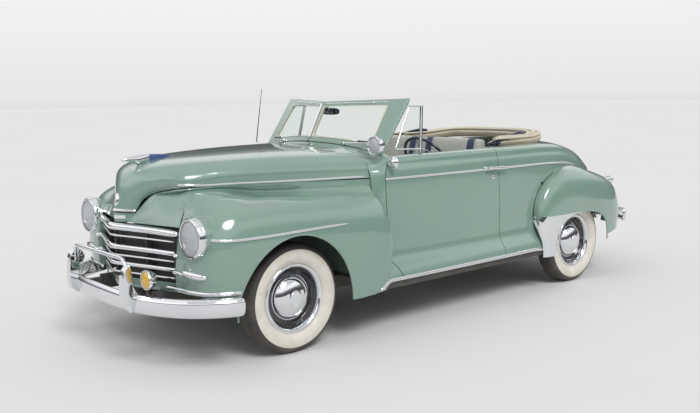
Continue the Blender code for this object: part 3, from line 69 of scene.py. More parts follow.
class Side(Enum):
    """The two sides of the car; +X is the driver's side."""

    LEFT = 1
    RIGHT = -1

    @property
    def word(self) -> str:
        """The side's name, as pieces and bodies carry it."""
        return self.name.lower()


# Shapes and meshes


@dataclass
class Form:
    """Points and faces of a shape. Each entry of faces is an array of faces with the same corner count."""

    points: Array
    faces: list[Array]

    def moved(self, by: tuple[float, float, float]) -> "Form":
        """The form moved by a vector."""
        return Form(self.points + np.asarray(by), self.faces)

    def turned(self, matrix: Array) -> "Form":
        """The form turned by a 3 by 3 matrix."""
        return Form(self.points @ np.asarray(matrix).T, self.faces)

    def mirrored(self, side: Side) -> "Form":
        """The form as it is on the left, or mirrored to the right with its faces turned back.

        Args:
            side: The side it is for.

        Returns:
            The form for that side.
        """
        if side is Side.LEFT:
            return self
        return Form(self.points * (-1, 1, 1), [f[:, ::-1] for f in self.faces])

    def outward(self) -> "Form":
        """The form with its faces pointing outwards, judged by its signed volume."""
        total = 0.0
        for block in self.faces:
            corner = self.points[block]
            for j in range(1, block.shape[1] - 1):
                total += np.einsum("ij,ij->", corner[:, 0], np.cross(corner[:, j], corner[:, j + 1]))
        if total < 0:
            return Form(self.points, [f[:, ::-1] for f in self.faces])
        return self

    def aimed(self, matrix: Array, place: tuple[float, float, float]) -> "Form":
        """The form turned and then moved."""
        return self.turned(matrix).moved(place)

    @staticmethod
    def joined(forms: list["Form"]) -> "Form":
        """Several forms as one.

        Args:
            forms: The forms.

        Returns:
            One form with all their faces.
        """
        points, faces, start = [], [], 0
        for form in forms:
            points.append(form.points)
            faces += [block + start for block in form.faces]
            start += len(form.points)
        return Form(np.concatenate(points), faces)


def xyz(x: Array | float, y: Array | float, z: Array | float) -> Array:
    """Points from their coordinates, stretched to one shape."""
    return np.stack(np.broadcast_arrays(x, y, z), axis=-1)


def full_turn(count: int) -> Array:
    """Angles round a full turn in equal steps."""
    return np.arange(count) * 2 * math.pi / count


def bowed(wave: Array, power: float) -> Array:
    """sign(wave) |wave|^power: a sine or cosine made squarer or fuller."""
    return np.sign(wave) * np.abs(wave) ** power


def grid_form(points: Array, round_u: bool = False, round_v: bool = False, caps: bool = False) -> Form:
    """Quads over a grid of points.

    Args:
        points: Grid of points, rows by columns by 3.
        round_u: Joins the last row to the first.
        round_v: Joins the last column to the first.
        caps: Closes the first and last row with a flat face.

    Returns:
        The form, facing outwards.
    """
    n, m = points.shape[:2]
    index = np.arange(n * m).reshape(n, m)
    if round_u:
        index = np.concatenate([index, index[:1]])
    if round_v:
        index = np.concatenate([index, index[:, :1]], axis=1)
    quads = np.stack([index[:-1, :-1], index[1:, :-1], index[1:, 1:], index[:-1, 1:]], axis=-1).reshape(-1, 4)
    faces = [quads]
    if caps:
        ring = np.arange(n * m).reshape(n, m)
        faces += [ring[:1], ring[-1:, ::-1]]
    return Form(points.reshape(-1, 3), faces).outward()


def sheet_form(outer: Array, inner: Array, keep: Array | None = None) -> Form:
    """The closed sheet between two grids, with walls round every edge of the kept cells.

    Args:
        outer: Grid of the outer face.
        inner: Grid of the inner face, of the same size.
        keep: Which cells exist, all if left out.

    Returns:
        The form, facing outwards.
    """
    n, m = outer.shape[:2]
    keep = np.ones((n - 1, m - 1), bool) if keep is None else keep
    index = np.arange(n * m).reshape(n, m)
    corners = np.stack([index[:-1, :-1], index[1:, :-1], index[1:, 1:], index[:-1, 1:]], axis=-1)
    padded = np.pad(keep, 1)
    faces = [corners[keep], corners[keep][:, ::-1] + n * m]
    shifts = (padded[1:-1, :-2], padded[2:, 1:-1], padded[1:-1, 2:], padded[:-2, 1:-1])
    for side, neighbour in enumerate(shifts):
        edge = keep & ~neighbour
        a = corners[edge][:, side]
        b = corners[edge][:, (side + 1) % 4]
        faces.append(np.stack([b, a, a + n * m, b + n * m], axis=-1))
    points = np.concatenate([outer.reshape(-1, 3), inner.reshape(-1, 3)])
    used = np.zeros(len(points), bool)
    for block in faces:
        used[block] = True
    place = np.cumsum(used) - 1
    return Form(points[used], [place[block] for block in faces]).outward()


def grid_normals(points: Array, core: tuple[float, float, float] | Array) -> Array:
    """Unit normals of a grid by central differences, pointing away from a core point or grid.

    Args:
        points: Grid of points.
        core: A point or grid of points inside.

    Returns:
        A normal for each point.
    """
    normal = np.cross(np.gradient(points, axis=0), np.gradient(points, axis=1))
    normal /= np.maximum(np.linalg.norm(normal, axis=-1, keepdims=True), 1e-12)
    away = np.sum(normal * (points - np.asarray(core)), axis=-1, keepdims=True)
    return normal * np.where(away < 0, -1.0, 1.0)


def tangents(rows: Array) -> Array:
    """Tangents of the natural cubic spline through rows at whole numbers, from its tridiagonal system.

    Args:
        rows: The rows, one a knot.

    Returns:
        A tangent for each row.
    """
    n = len(rows)
    system = np.eye(n) * 4 + np.eye(n, k=1) + np.eye(n, k=-1)
    system[0, 0] = system[-1, -1] = 2
    ends = np.pad(np.arange(n), 1, mode="edge")
    rise = 3 * (rows[ends[2:]] - rows[ends[:-2]])
    return np.linalg.solve(system, rise.reshape(n, -1)).reshape(rows.shape)


def hermite(p0: Array, p1: Array, m0: Array, m1: Array, t: Array) -> Array:
    """Cubic Hermite blend of two ends and their tangents at t from 0 to 1.

    Args:
        p0: First ends.
        p1: Last ends.
        m0: Tangents at the first ends.
        m1: Tangents at the last.
        t: Shares of the way.

    Returns:
        The blended values.
    """
    square, cube = t * t, t * t * t
    return (2 * cube - 3 * square + 1) * p0 + (3 * square - 2 * cube) * p1 + (cube - 2 * square + t) * m0 + (
        cube - square) * m1


def spline(rows: Array, at: Array) -> Array:
    """The natural cubic spline through rows, at fractional row numbers.

    Args:
        rows: The rows, one a knot.
        at: Fractional row numbers.

    Returns:
        A row for each of them.
    """
    rows = np.asarray(rows, float)
    at = np.atleast_1d(np.asarray(at, float))
    slope = tangents(rows)
    i = np.clip(at.astype(int), 0, len(rows) - 2)
    t = (at - i).reshape((-1,) + (1,) * (rows.ndim - 1))
    return hermite(rows[i], rows[i + 1], slope[i], slope[i + 1], t)


def frames(path: Array,
           up: Array | tuple[float, float, float] = (0.0, 0.0, 1.0)) -> tuple[Array, Array, Array]:
    """Unit direction, side and up vectors along a path, from central differences and an up hint.

    Args:
        path: Points of the path.
        up: Up hint, one or one a point.

    Returns:
        Directions, sides and ups.
    """
    along = np.gradient(path, axis=0)
    along /= np.linalg.norm(along, axis=1, keepdims=True)
    side = np.cross(along, np.broadcast_to(up, path.shape))
    side /= np.maximum(np.linalg.norm(side, axis=1, keepdims=True), 1e-9)
    return along, side, np.cross(side, along)


def swept(path: Array, profile: Array, up: Array | tuple[float, float, float] = (0.0, 0.0, 1.0),
          sizes: Array | float = 1.0) -> Form:
    """A closed profile carried along a path.

    Args:
        path: Points of the path.
        profile: Points of the profile as (side, up).
        up: Up hint, one or one per path point.
        sizes: Scale of the profile at each path point.

    Returns:
        The form with flat ends.
    """
    _, side, rise = frames(path, up)
    scale = np.broadcast_to(sizes, (len(path),))[:, None, None]
    across = side[:, None] * profile[None, :, :1] + rise[:, None] * profile[None, :, 1:]
    return grid_form(path[:, None] + across * scale, round_v=True, caps=True)


def circle(radius: float, count: int) -> Array:
    """Points of a circle in a plane."""
    return oval(radius, radius, count)


def oval(width: float, height: float, count: int, power: float = 2.0) -> Array:
    """Points of a superellipse: |x/width|^power + |y/height|^power = 1, by half sizes."""
    turn = full_turn(count)
    return np.stack([width * bowed(np.cos(turn), 2 / power), height * bowed(np.sin(turn), 2 / power)], axis=1)


def tube(path: Array, radius: Array | float, count: int = 12) -> Form:
    """A round bar along a path, its frame built from the world axis that the path follows least.

    Args:
        path: Points of its middle line.
        radius: Its radius, one or one a point.
        count: Points round it.

    Returns:
        The bar with flat ends.
    """
    path = np.asarray(path, float)
    along = np.gradient(path, axis=0)
    along /= np.linalg.norm(along, axis=1, keepdims=True)
    hint = np.eye(3)[np.argmin(np.abs(along).max(axis=0))]
    return swept(path, circle(1.0, count), hint, radius)


def lathe(profile: Array, count: int = 48, ring: bool = False) -> Form:
    """A shape turned round the x axis: x = profile x, radius = profile r, over a full turn.

    Args:
        profile: Points as (x, radius); a radius near zero closes to a pole.
        count: Steps round the turn.
        ring: The profile is closed on itself.

    Returns:
        The form, facing outwards.
    """
    profile = np.asarray(profile, float)
    turn = full_turn(count)
    radius = np.maximum(profile[:, 1:], 1e-5)
    points = xyz(profile[:, :1], radius * np.cos(turn), radius * np.sin(turn))
    return grid_form(points, round_u=ring, round_v=True, caps=not ring)


def softened(outline: Array, step: int) -> Array:
    """A closed outline whose corners are softened by a spline through them."""
    profile = np.asarray([*outline, outline[0]], float)
    return spline(profile, np.linspace(0, len(profile) - 1, step * (len(profile) - 1) + 1))[:-1]


def pillow(low: tuple[float, float, float], high: tuple[float, float, float], power: float = 5.0,
           count: int = 36) -> Form:
    """A superellipsoid box between two corners: |x|^p + |y|^p + |z|^p = 1 in its own half sizes.

    Args:
        low: Its lowest corner.
        high: Its highest corner.
        power: How square it is.
        count: Points round it.

    Returns:
        The closed form.
    """
    low, high = np.asarray(low, float), np.asarray(high, float)
    lat = np.linspace(-math.pi / 2, math.pi / 2, count // 2 + 1)[:, None]
    lon = full_turn(count)[None]
    ray = xyz(np.cos(lat) * np.cos(lon), np.cos(lat) * np.sin(lon), np.sin(lat))
    size = np.sum(np.abs(ray) ** power, axis=-1, keepdims=True) ** (1 / power)
    return grid_form(ray / size * (high - low) / 2 + (high + low) / 2, round_v=True, caps=False)


def slab(outline: Array, near: float, far: float, axis: int) -> Form:
    """A flat closed outline carried from near to far along an axis.

    Args:
        outline: Its outline in the plane across the axis.
        near: Where it starts.
        far: Where it ends.
        axis: Number of the axis.

    Returns:
        The closed form.
    """
    outline = np.asarray(outline, float)
    rows = np.stack([np.insert(outline, axis, near, axis=1), np.insert(outline, axis, far, axis=1)])
    return grid_form(rows, round_v=True, caps=True)


def bar(low: tuple[float, float, float], high: tuple[float, float, float]) -> Form:
    """The square bar between two corners."""
    (x0, y0, z0), (x1, y1, z1) = low, high
    return slab(((x0, y0), (x1, y0), (x1, y1), (x0, y1)), z0, z1, 2)


def mirrored_line(half: Array, count: int) -> Array:
    """The smooth line through a half and its mirror image, in equal steps of its spline.

    Args:
        half: The half, from the middle outwards.
        count: How many points to give.

    Returns:
        Points from the right end to the left.
    """
    half = np.asarray(half, float)
    flip = (-1,) + (1,) * (half.shape[1] - 1)
    line = np.concatenate([half[::-1] * flip, half[1:]])
    return spline(line, np.linspace(0, len(line) - 1, count))


FORWARD = np.array(((0, 1, 0), (-1, 0, 0), (0, 0, 1)), float)
BACKWARD = np.array(((0, -1, 0), (1, 0, 0), (0, 0, 1)), float)


@dataclass
class Assembly:
    """A sub-assembly, which puts forms into the scene as pieces that ride on the car's bodies."""

    def piece(self, name: str, form: Form, finish: "Finish", body: str = "body", side: Side | None = None,
              slot: str = "", instead: tuple[str, ...] = (), bevel: float = 0.0,
              smooth: float = 35.0) -> bpy.types.Object:
        """Makes one piece.

        Args:
            name: The piece's name, without its side.
            form: Its shape, as it is on the left.
            finish: Its finish.
            body: The CAD body it rides on.
            side: The side it is made for, if it is one of a pair.
            slot: The record's material slot, the finish's own if left out; it is not used.
            instead: CAD nodes it stands for.
            bevel: Width of the rounding on its sharp edges.
            smooth: Angle in degrees above which an edge stays sharp.

        Returns:
            The new object.
        """
        if side:
            name, form = f"{name}_{side.word}", form.mirrored(side)
        form = form.outward()
        mesh = bpy.data.meshes.new(name)
        faces = [face for block in form.faces for face in block.tolist()]
        mesh.from_pydata(form.points.tolist(), [], faces)
        mesh.validate()
        mesh.shade_smooth()
        mesh.set_sharp_from_angle(angle=math.radians(smooth))
        mesh.materials.append(finish.material())
        piece = bpy.data.objects.new(name, mesh)
        bpy.context.scene.collection.objects.link(piece)
        if bevel:
            edge = piece.modifiers.new("edge", "BEVEL")
            edge.width = bevel
            edge.segments = 2
            edge.limit_method = "ANGLE"
            edge.angle_limit = math.radians(38)
        slot = slot or finish.slot
        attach(piece, body)
        if instead:
            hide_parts(*instead)
        log.info("%s: %d faces on %s", name, len(faces), body)
        return piece


# Finishes


class Relief(Enum):
    """The fine relief of a finish's surface."""

    PEEL = "peel"
    GRAIN = "grain"
    WEAVE = "weave"
    FLUTES = "flutes"
    PILE = "pile"
    CAST = "cast"


@dataclass
class Wiring:
    """Adds and links nodes in one node tree."""

    tree: bpy.types.NodeTree

    def add(self, kind: str, inputs: dict | None = None, **settings: object) -> bpy.types.Node:
        """Adds a node.

        Args:
            kind: The node type without its ShaderNode prefix.
            inputs: Values or sockets for its inputs, by name or number.
            settings: Values for its properties.

        Returns:
            The new node.
        """
        node = self.tree.nodes.new("ShaderNode" + kind)
        for key, value in settings.items():
            setattr(node, key, value)
        for key, value in (inputs or {}).items():
            if isinstance(value, bpy.types.NodeSocket):
                self.tree.links.new(value, node.inputs[key])
            else:
                node.inputs[key].default_value = value
        return node

    def sum(self, a: object, b: object, operation: str = "ADD") -> bpy.types.NodeSocket:
        """The output of a Math node on two values or sockets."""
        return self.add("Math", {0: a, 1: b}, operation=operation).outputs[0]

    def span(self, value: object, low: float, high: float, start: float, end: float) -> bpy.types.NodeSocket:
        """A value carried from one range to another and held to it."""
        inputs = {"Value": value, "From Min": low, "From Max": high, "To Min": start, "To Max": end}
        return self.add("MapRange", inputs).outputs[0]


def effect(name: str, takes: dict[str, float], gives: str) -> tuple[bpy.types.NodeTree, Wiring]:
    """A shader node group with named number inputs and one number output.

    Args:
        name: The group's name.
        takes: Inputs and their defaults.
        gives: The output's name.

    Returns:
        The group and a wiring for it.
    """
    tree = bpy.data.node_groups.new(name, "ShaderNodeTree")
    for key, value in takes.items():
        tree.interface.new_socket(key, in_out="INPUT", socket_type="NodeSocketFloat").default_value = value
    tree.interface.new_socket(gives, in_out="OUTPUT", socket_type="NodeSocketFloat")
    tree.nodes.new("NodeGroupInput")
    tree.nodes.new("NodeGroupOutput")
    return tree, Wiring(tree)


def ends(tree: bpy.types.NodeTree) -> tuple[bpy.types.Node, bpy.types.Node]:
    """A group's input and output nodes."""
    return tree.nodes["Group Input"], tree.nodes["Group Output"]


def mottle_effect() -> bpy.types.NodeTree:
    """Soft uneven patches: noise on object coordinates, its middle stretched to 0 to 1."""
    tree, wiring = effect("mottle", {"Scale": 5.0}, "Mask")
    start, end = ends(tree)
    place = wiring.add("TexCoord").outputs["Object"]
    noise = wiring.add("TexNoise", {"Vector": place, "Scale": start.outputs[0], "Detail": 4.0,
                                    "Roughness": 0.6})
    tree.links.new(wiring.span(noise.outputs[0], 0.35, 0.65, 0.0, 1.0), end.inputs[0])
    return tree


def dust_effect() -> bpy.types.NodeTree:
    """Road dust: more towards the ground, broken up by noise."""
    tree, wiring = effect("dust", {"Amount": 0.3, "Height": 0.6}, "Mask")
    start, end = ends(tree)
    place = wiring.add("TexCoord").outputs["Object"]
    rise = wiring.add("SeparateXYZ", {0: place}).outputs[2]
    low = wiring.sum(1.0, wiring.sum(rise, start.outputs[1], "DIVIDE"), "SUBTRACT")
    noise = wiring.add("TexNoise", {"Vector": place, "Scale": 9.0, "Detail": 6.0})
    patch = wiring.span(noise.outputs[0], 0.3, 0.7, 0.2, 1.0)
    held = wiring.add("Clamp", {0: wiring.sum(low, patch, "MULTIPLY")}).outputs[0]
    tree.links.new(wiring.sum(held, start.outputs[0], "MULTIPLY"), end.inputs[0])
    return tree


def relief_effect(kind: Relief) -> bpy.types.NodeTree:
    """The height of one kind of relief, on object coordinates.

    Args:
        kind: Which relief.

    Returns:
        The node group.
    """
    tree, wiring = effect(kind.value, {"Scale": 300.0}, "Height")
    start, end = ends(tree)
    place = wiring.add("TexCoord").outputs["Object"]
    scale = start.outputs[0]
    noise = wiring.add("TexNoise", {"Vector": place, "Scale": scale, "Detail": 2.0}).outputs[0]
    if kind is Relief.PEEL:
        height = noise
    elif kind is Relief.CAST:
        fine = wiring.add("TexVoronoi", {"Vector": place, "Scale": scale}, feature="SMOOTH_F1").outputs[0]
        height = wiring.sum(noise, fine)
    elif kind is Relief.GRAIN:
        cells = wiring.add("TexVoronoi", {"Vector": place, "Scale": scale},
                           feature="DISTANCE_TO_EDGE").outputs[0]
        height = wiring.sum(wiring.span(cells, 0.0, 0.35, 0.0, 1.0), wiring.sum(noise, 0.4, "MULTIPLY"))
    elif kind is Relief.PILE:
        tufts = wiring.add("TexVoronoi", {"Vector": place, "Scale": scale}).outputs[0]
        height = wiring.sum(noise, tufts, "MULTIPLY")
    elif kind is Relief.FLUTES:
        wave = {"Vector": place, "Scale": scale}
        height = wiring.add("TexWave", wave, bands_direction="X").outputs["Fac"]
    else:
        warp = wiring.add("TexWave", {"Vector": place, "Scale": scale}, bands_direction="X").outputs["Fac"]
        weft = wiring.add("TexWave", {"Vector": place, "Scale": scale},
                          bands_direction="DIAGONAL").outputs["Fac"]
        height = wiring.sum(wiring.sum(warp, weft, "MAXIMUM"), wiring.sum(noise, 0.5, "MULTIPLY"))
    tree.links.new(height, end.inputs[0])
    return tree


GROUPS: dict[str, bpy.types.NodeTree] = {}


def group_of(name: str) -> bpy.types.NodeTree:
    """The effect of that name, built once.

    Args:
        name: The effect's name.

    Returns:
        Its node group.
    """
    if name not in GROUPS:
        makers = {"mottle": mottle_effect, "dust": dust_effect}
        GROUPS[name] = makers[name]() if name in makers else relief_effect(Relief(name))
    return GROUPS[name]


@dataclass(frozen=True)
class Finish:
    """A finish: two shades mixed by a mottled mask, a range of roughness, a fine relief and road dust."""

    name: str
    light: tuple[float, float, float]
    dark: tuple[float, float, float]
    rough: tuple[float, float]
    metallic: float = 0.0
    coat: float = 0.0
    mottle: float = 4.0
    relief: Relief = Relief.PEEL
    relief_scale: float = 300.0
    depth: float = 0.0002
    dust: float = 0.0
    dust_height: float = 0.7
    sheen: float = 0.0
    see_through: float = 0.0
    index: float = 1.5
    slot: str = "paint"

    def material(self) -> bpy.types.Material:
        """The finish's material, built once."""
        found = bpy.data.materials.get(self.name)
        if found:
            return found
        made = bpy.data.materials.new(self.name)
        made.use_nodes = True
        made.diffuse_color = (*self.light, 1.0)
        wiring = Wiring(made.node_tree)
        shader = made.node_tree.nodes["Principled BSDF"]
        mask = self.placed(wiring, "mottle", {"Scale": self.mottle})
        mix = {0: mask, 6: (*self.light, 1.0), 7: (*self.dark, 1.0)}
        colour = wiring.add("Mix", mix, data_type="RGBA").outputs[2]
        rough = wiring.span(mask, 0.0, 1.0, *self.rough)
        if self.dust:
            dust = self.placed(wiring, "dust", {"Amount": self.dust, "Height": self.dust_height})
            colour = wiring.add("Mix", {0: dust, 6: colour, 7: (*DUST, 1.0)}, data_type="RGBA").outputs[2]
            rough = wiring.sum(rough, wiring.sum(dust, 0.5, "MULTIPLY"))
        height = self.placed(wiring, self.relief.value, {"Scale": self.relief_scale})
        bump = wiring.add("Bump", {"Height": height, "Distance": self.depth, "Strength": 0.7})
        links = made.node_tree.links
        links.new(colour, shader.inputs["Base Color"])
        links.new(rough, shader.inputs["Roughness"])
        links.new(bump.outputs[0], shader.inputs["Normal"])
        shader.inputs["Metallic"].default_value = self.metallic
        shader.inputs["IOR"].default_value = self.index
        shader.inputs["Transmission Weight"].default_value = self.see_through
        shader.inputs["Coat Weight"].default_value = self.coat
        shader.inputs["Coat Roughness"].default_value = 0.04
        shader.inputs["Sheen Weight"].default_value = self.sheen
        shader.inputs["Sheen Roughness"].default_value = 0.5
        return made

    def placed(self, wiring: Wiring, name: str, values: dict[str, float]) -> bpy.types.NodeSocket:
        """An effect's output, with this finish's values.

        Args:
            wiring: Where to add it.
            name: The effect's name.
            values: Its inputs' values.

        Returns:
            The effect's output socket.
        """
        node = wiring.add("Group", node_tree=group_of(name))
        for key, value in values.items():
            node.inputs[key].default_value = value
        return node.outputs[0]


DUST = (0.30, 0.27, 0.23)
ENAMEL = Finish("sea_green_enamel", (0.200, 0.305, 0.255), (0.180, 0.282, 0.238), (0.16, 0.24), coat=1.0,
                mottle=1.6, relief_scale=240.0, depth=0.00008, dust=0.10, dust_height=0.55)
INNER_ENAMEL = Finish("inner_enamel", (0.20, 0.28, 0.23), (0.17, 0.24, 0.20), (0.35, 0.50), mottle=5.0)
CHROME = Finish("bright_chrome", (0.80, 0.81, 0.83), (0.74, 0.75, 0.78), (0.04, 0.11), metallic=1.0, mottle=3.0,
                relief_scale=60.0, depth=0.00005, slot="chrome")
DULL_CHROME = Finish("dulled_chrome", (0.62, 0.63, 0.64), (0.50, 0.50, 0.50), (0.18, 0.34), metallic=1.0,
                     mottle=14.0, relief_scale=160.0, depth=0.0001, slot="chrome")
BLACK = Finish("black_underside", (0.030, 0.030, 0.032), (0.045, 0.042, 0.038), (0.45, 0.70), mottle=7.0,
               relief=Relief.CAST, relief_scale=120.0, depth=0.0004, dust=0.45, dust_height=0.6, slot="chrome")
IRON = Finish("grey_cast_iron", (0.16, 0.19, 0.18), (0.10, 0.11, 0.11), (0.45, 0.65), metallic=0.3, mottle=8.0,
              relief=Relief.CAST, relief_scale=150.0, depth=0.0006)
CORE = Finish("radiator_core", (0.035, 0.035, 0.038), (0.055, 0.050, 0.045), (0.40, 0.60), metallic=0.4,
              relief=Relief.FLUTES, relief_scale=45.0, depth=0.002)
RUBBER = Finish("tyre_rubber", (0.022, 0.022, 0.024), (0.034, 0.032, 0.030), (0.62, 0.82), mottle=9.0,
                relief=Relief.PILE, relief_scale=400.0, depth=0.0003, dust=0.35, dust_height=0.9, slot="tyre")
SEAL = Finish("black_rubber_seal", (0.020, 0.020, 0.022), (0.032, 0.031, 0.030), (0.45, 0.65), mottle=20.0,
              slot="trim")
WHITEWALL = Finish("whitewall_rubber", (0.74, 0.71, 0.65), (0.66, 0.62, 0.54), (0.48, 0.62), mottle=11.0,
                   relief_scale=220.0, depth=0.0002, dust=0.10, dust_height=0.9, slot="tyre")
WHEEL_BLACK = Finish("wheel_enamel", (0.012, 0.014, 0.020), (0.018, 0.020, 0.026), (0.14, 0.26), coat=1.0,
                     mottle=6.0, dust=0.12, slot="wheel")
GLASS = Finish("clear_glass", (0.93, 0.97, 0.95), (0.90, 0.95, 0.93), (0.0, 0.03), see_through=1.0, mottle=2.0,
               relief_scale=3.0, depth=0.0001, index=1.10, slot="glass")
LENS = Finish("fluted_lens", (0.84, 0.86, 0.88), (0.74, 0.77, 0.80), (0.02, 0.06), see_through=0.5,
              relief=Relief.FLUTES, relief_scale=26.0, depth=0.0016, index=1.35, slot="glass")
AMBER = Finish("amber_lens", (0.95, 0.60, 0.04), (0.85, 0.45, 0.02), (0.05, 0.14), see_through=0.35,
               relief=Relief.FLUTES, relief_scale=30.0, depth=0.0014, coat=1.0, slot="glass")
RED_LENS = Finish("red_lens", (0.62, 0.015, 0.012), (0.45, 0.010, 0.010), (0.08, 0.16), coat=1.0,
                  relief=Relief.FLUTES, relief_scale=40.0, depth=0.0012, slot="glass")
FROST_LENS = Finish("frosted_lens", (0.80, 0.80, 0.76), (0.72, 0.72, 0.68), (0.12, 0.26), see_through=0.4,
                    relief=Relief.FLUTES, relief_scale=40.0, depth=0.0012, coat=1.0, slot="glass")
HIDE = Finish("pale_grey_hide", (0.50, 0.51, 0.46), (0.42, 0.43, 0.39), (0.38, 0.55), mottle=6.0,
              relief=Relief.GRAIN, relief_scale=380.0, depth=0.0005, sheen=0.1, slot="upholstery")
NAVY = Finish("navy_hide", (0.018, 0.032, 0.085), (0.028, 0.045, 0.105), (0.30, 0.45), mottle=6.0,
              relief=Relief.GRAIN, relief_scale=380.0, depth=0.0005, slot="upholstery")
CREAM = Finish("cream_piping", (0.66, 0.62, 0.50), (0.58, 0.53, 0.41), (0.40, 0.55), relief=Relief.GRAIN,
               relief_scale=420.0, depth=0.0003, slot="trim")
CANVAS = Finish("cream_top_cloth", (0.60, 0.54, 0.42), (0.48, 0.42, 0.31), (0.78, 0.92), mottle=7.0,
                relief=Relief.WEAVE, relief_scale=260.0, depth=0.0006, sheen=0.2, slot="canvas")
CARPET = Finish("dark_carpet", (0.040, 0.045, 0.055), (0.060, 0.062, 0.068), (0.85, 0.97), mottle=12.0,
                relief=Relief.PILE, relief_scale=260.0, depth=0.0025, sheen=0.4, slot="trim")
DARK_PLASTIC = Finish("dark_blue_plastic", (0.012, 0.018, 0.040), (0.018, 0.024, 0.050), (0.16, 0.26), coat=0.6,
                      mottle=10.0, slot="plastic")
IVORY = Finish("ivory_dial", (0.62, 0.60, 0.50), (0.56, 0.53, 0.43), (0.25, 0.35), mottle=16.0, slot="plastic")
BLUE_PLASTIC = Finish("blue_clear_plastic", (0.10, 0.16, 0.42), (0.07, 0.11, 0.32), (0.05, 0.12), coat=1.0,
                      see_through=0.3, slot="plastic")
ROD = Finish("bronzed_rod", (0.16, 0.06, 0.045), (0.22, 0.09, 0.06), (0.20, 0.34), metallic=0.7, mottle=20.0,
             slot="chrome")
FLOOR = Finish("pale_floor", (0.735, 0.735, 0.73), (0.72, 0.72, 0.715), (0.82, 0.9), mottle=0.25,
               relief_scale=40.0, depth=0.0004)


# The stage


@dataclass
class Studio:
    """Camera, lamps, world and floor."""

    azimuth: float = 48.834
    elevation: float = 7.710
    roll: float = -0.713
    place: tuple[float, float, float] = (4.8575, -4.6265, 1.6187)
    lens: float = 36 * 833.44 / 700
    key_strength: float = 1.7
    world_strength: float = 0.62

    def build(self) -> None:
        """Adds the stage to the scene."""
        self.add_camera()
        self.add_lamps()
        self.add_world()
        self.add_floor()
        bpy.context.scene.view_settings.view_transform = "Standard"
        log.info("studio is set")

    def add_camera(self) -> None:
        """The camera at the photograph's view: its axes from azimuth, elevation and roll."""
        a, e, roll = (math.radians(v) for v in (self.azimuth, self.elevation, self.roll))
        back = np.array((math.sin(a) * math.cos(e), -math.cos(a) * math.cos(e), math.sin(e)))
        right = np.cross(-back, (0, 0, 1))
        right /= np.linalg.norm(right)
        up = np.cross(right, -back)
        c, s = math.cos(roll), math.sin(roll)
        matrix = np.eye(4)
        matrix[:3, 0] = c * right + s * up
        matrix[:3, 1] = -s * right + c * up
        matrix[:3, 2] = back
        matrix[:3, 3] = self.place
        data = bpy.data.cameras.new("camera")
        data.lens = self.lens
        data.sensor_width = 36
        data.clip_end = 500
        camera = bpy.data.objects.new("camera", data)
        camera.matrix_world = Matrix(matrix.tolist())
        bpy.context.scene.collection.objects.link(camera)
        bpy.context.scene.camera = camera

    def add_lamps(self) -> None:
        """One soft key lamp from high on the camera's right, and a weak one from the left."""
        for name, energy, angle, turn in (("key", self.key_strength, 24.0, (42, 0, 75)),
                                          ("fill", 0.35, 60.0, (58, 0, -20))):
            data = bpy.data.lights.new(name, "SUN")
            data.energy = energy
            data.angle = math.radians(angle)
            lamp = bpy.data.objects.new(name, data)
            lamp.rotation_euler = tuple(math.radians(t) for t in turn)
            bpy.context.scene.collection.objects.link(lamp)

    def add_world(self) -> None:
        """A pale sky; metal and paint mirror a second one, with a dark band over the horizon."""
        world = bpy.data.worlds.new("studio")
        bpy.context.scene.world = world
        world.use_nodes = True
        wiring = Wiring(world.node_tree)
        background = world.node_tree.nodes["Background"]
        rise = wiring.add("SeparateXYZ", {0: wiring.add("TexCoord").outputs["Generated"]}).outputs[2]
        ramp = wiring.add("ValToRGB", {0: wiring.span(rise, -1.0, 1.0, 0.0, 1.0)})
        stops = ramp.color_ramp.elements
        stops[0].position, stops[0].color = 0.44, (0.30, 0.30, 0.30, 1)
        stops[1].position, stops[1].color = 1.0, (1.0, 1.0, 1.0, 1)
        for place, shade in ((0.50, 0.80), (0.56, 0.90), (0.62, 0.97)):
            stop = stops.new(place)
            stop.color = (shade, shade, shade, 1)
        mirrored = wiring.add("ValToRGB", {0: wiring.span(rise, -1.0, 1.0, 0.0, 1.0)})
        stops = mirrored.color_ramp.elements
        stops[0].position, stops[0].color = 0.495, (0.42, 0.42, 0.42, 1)
        stops[1].position, stops[1].color = 1.0, (0.92, 0.92, 0.92, 1)
        for place, shade in ((0.503, 0.07), (0.56, 0.10), (0.62, 0.26), (0.665, 1.05), (0.76, 1.15),
                             (0.84, 0.60)):
            stop = stops.new(place)
            stop.color = (shade, shade * 1.005, shade * 1.02, 1)
        path = wiring.add("LightPath")
        seen = wiring.sum(wiring.sum(path.outputs["Is Camera Ray"], path.outputs["Is Glossy Ray"], "MAXIMUM"),
                          path.outputs["Is Transmission Ray"], "MAXIMUM")
        links = world.node_tree.links
        blend = world.node_tree.nodes.new("ShaderNodeMix")
        blend.data_type = "RGBA"
        links.new(path.outputs["Is Glossy Ray"], blend.inputs["Factor"])
        for socket, source in zip((s for s in blend.inputs if s.type == "RGBA"), (ramp, mirrored)):
            links.new(source.outputs[0], socket)
        links.new(next(s for s in blend.outputs if s.type == "RGBA"), background.inputs[0])
        links.new(wiring.span(seen, 0.0, 1.0, self.world_strength, 1.0), background.inputs[1])

    def add_floor(self) -> None:
        """A plain pale floor under the tyres."""
        mesh = bpy.data.meshes.new("floor")
        half = 120.0
        mesh.from_pydata([(-half, -half, 0), (half, -half, 0), (half, half, 0), (-half, half, 0)], [],
                         [(0, 1, 2, 3)])
        mesh.materials.append(FLOOR.material())
        floor = bpy.data.objects.new("floor", mesh)
        bpy.context.scene.collection.objects.link(floor)


# The car's sizes and ribs, in metres

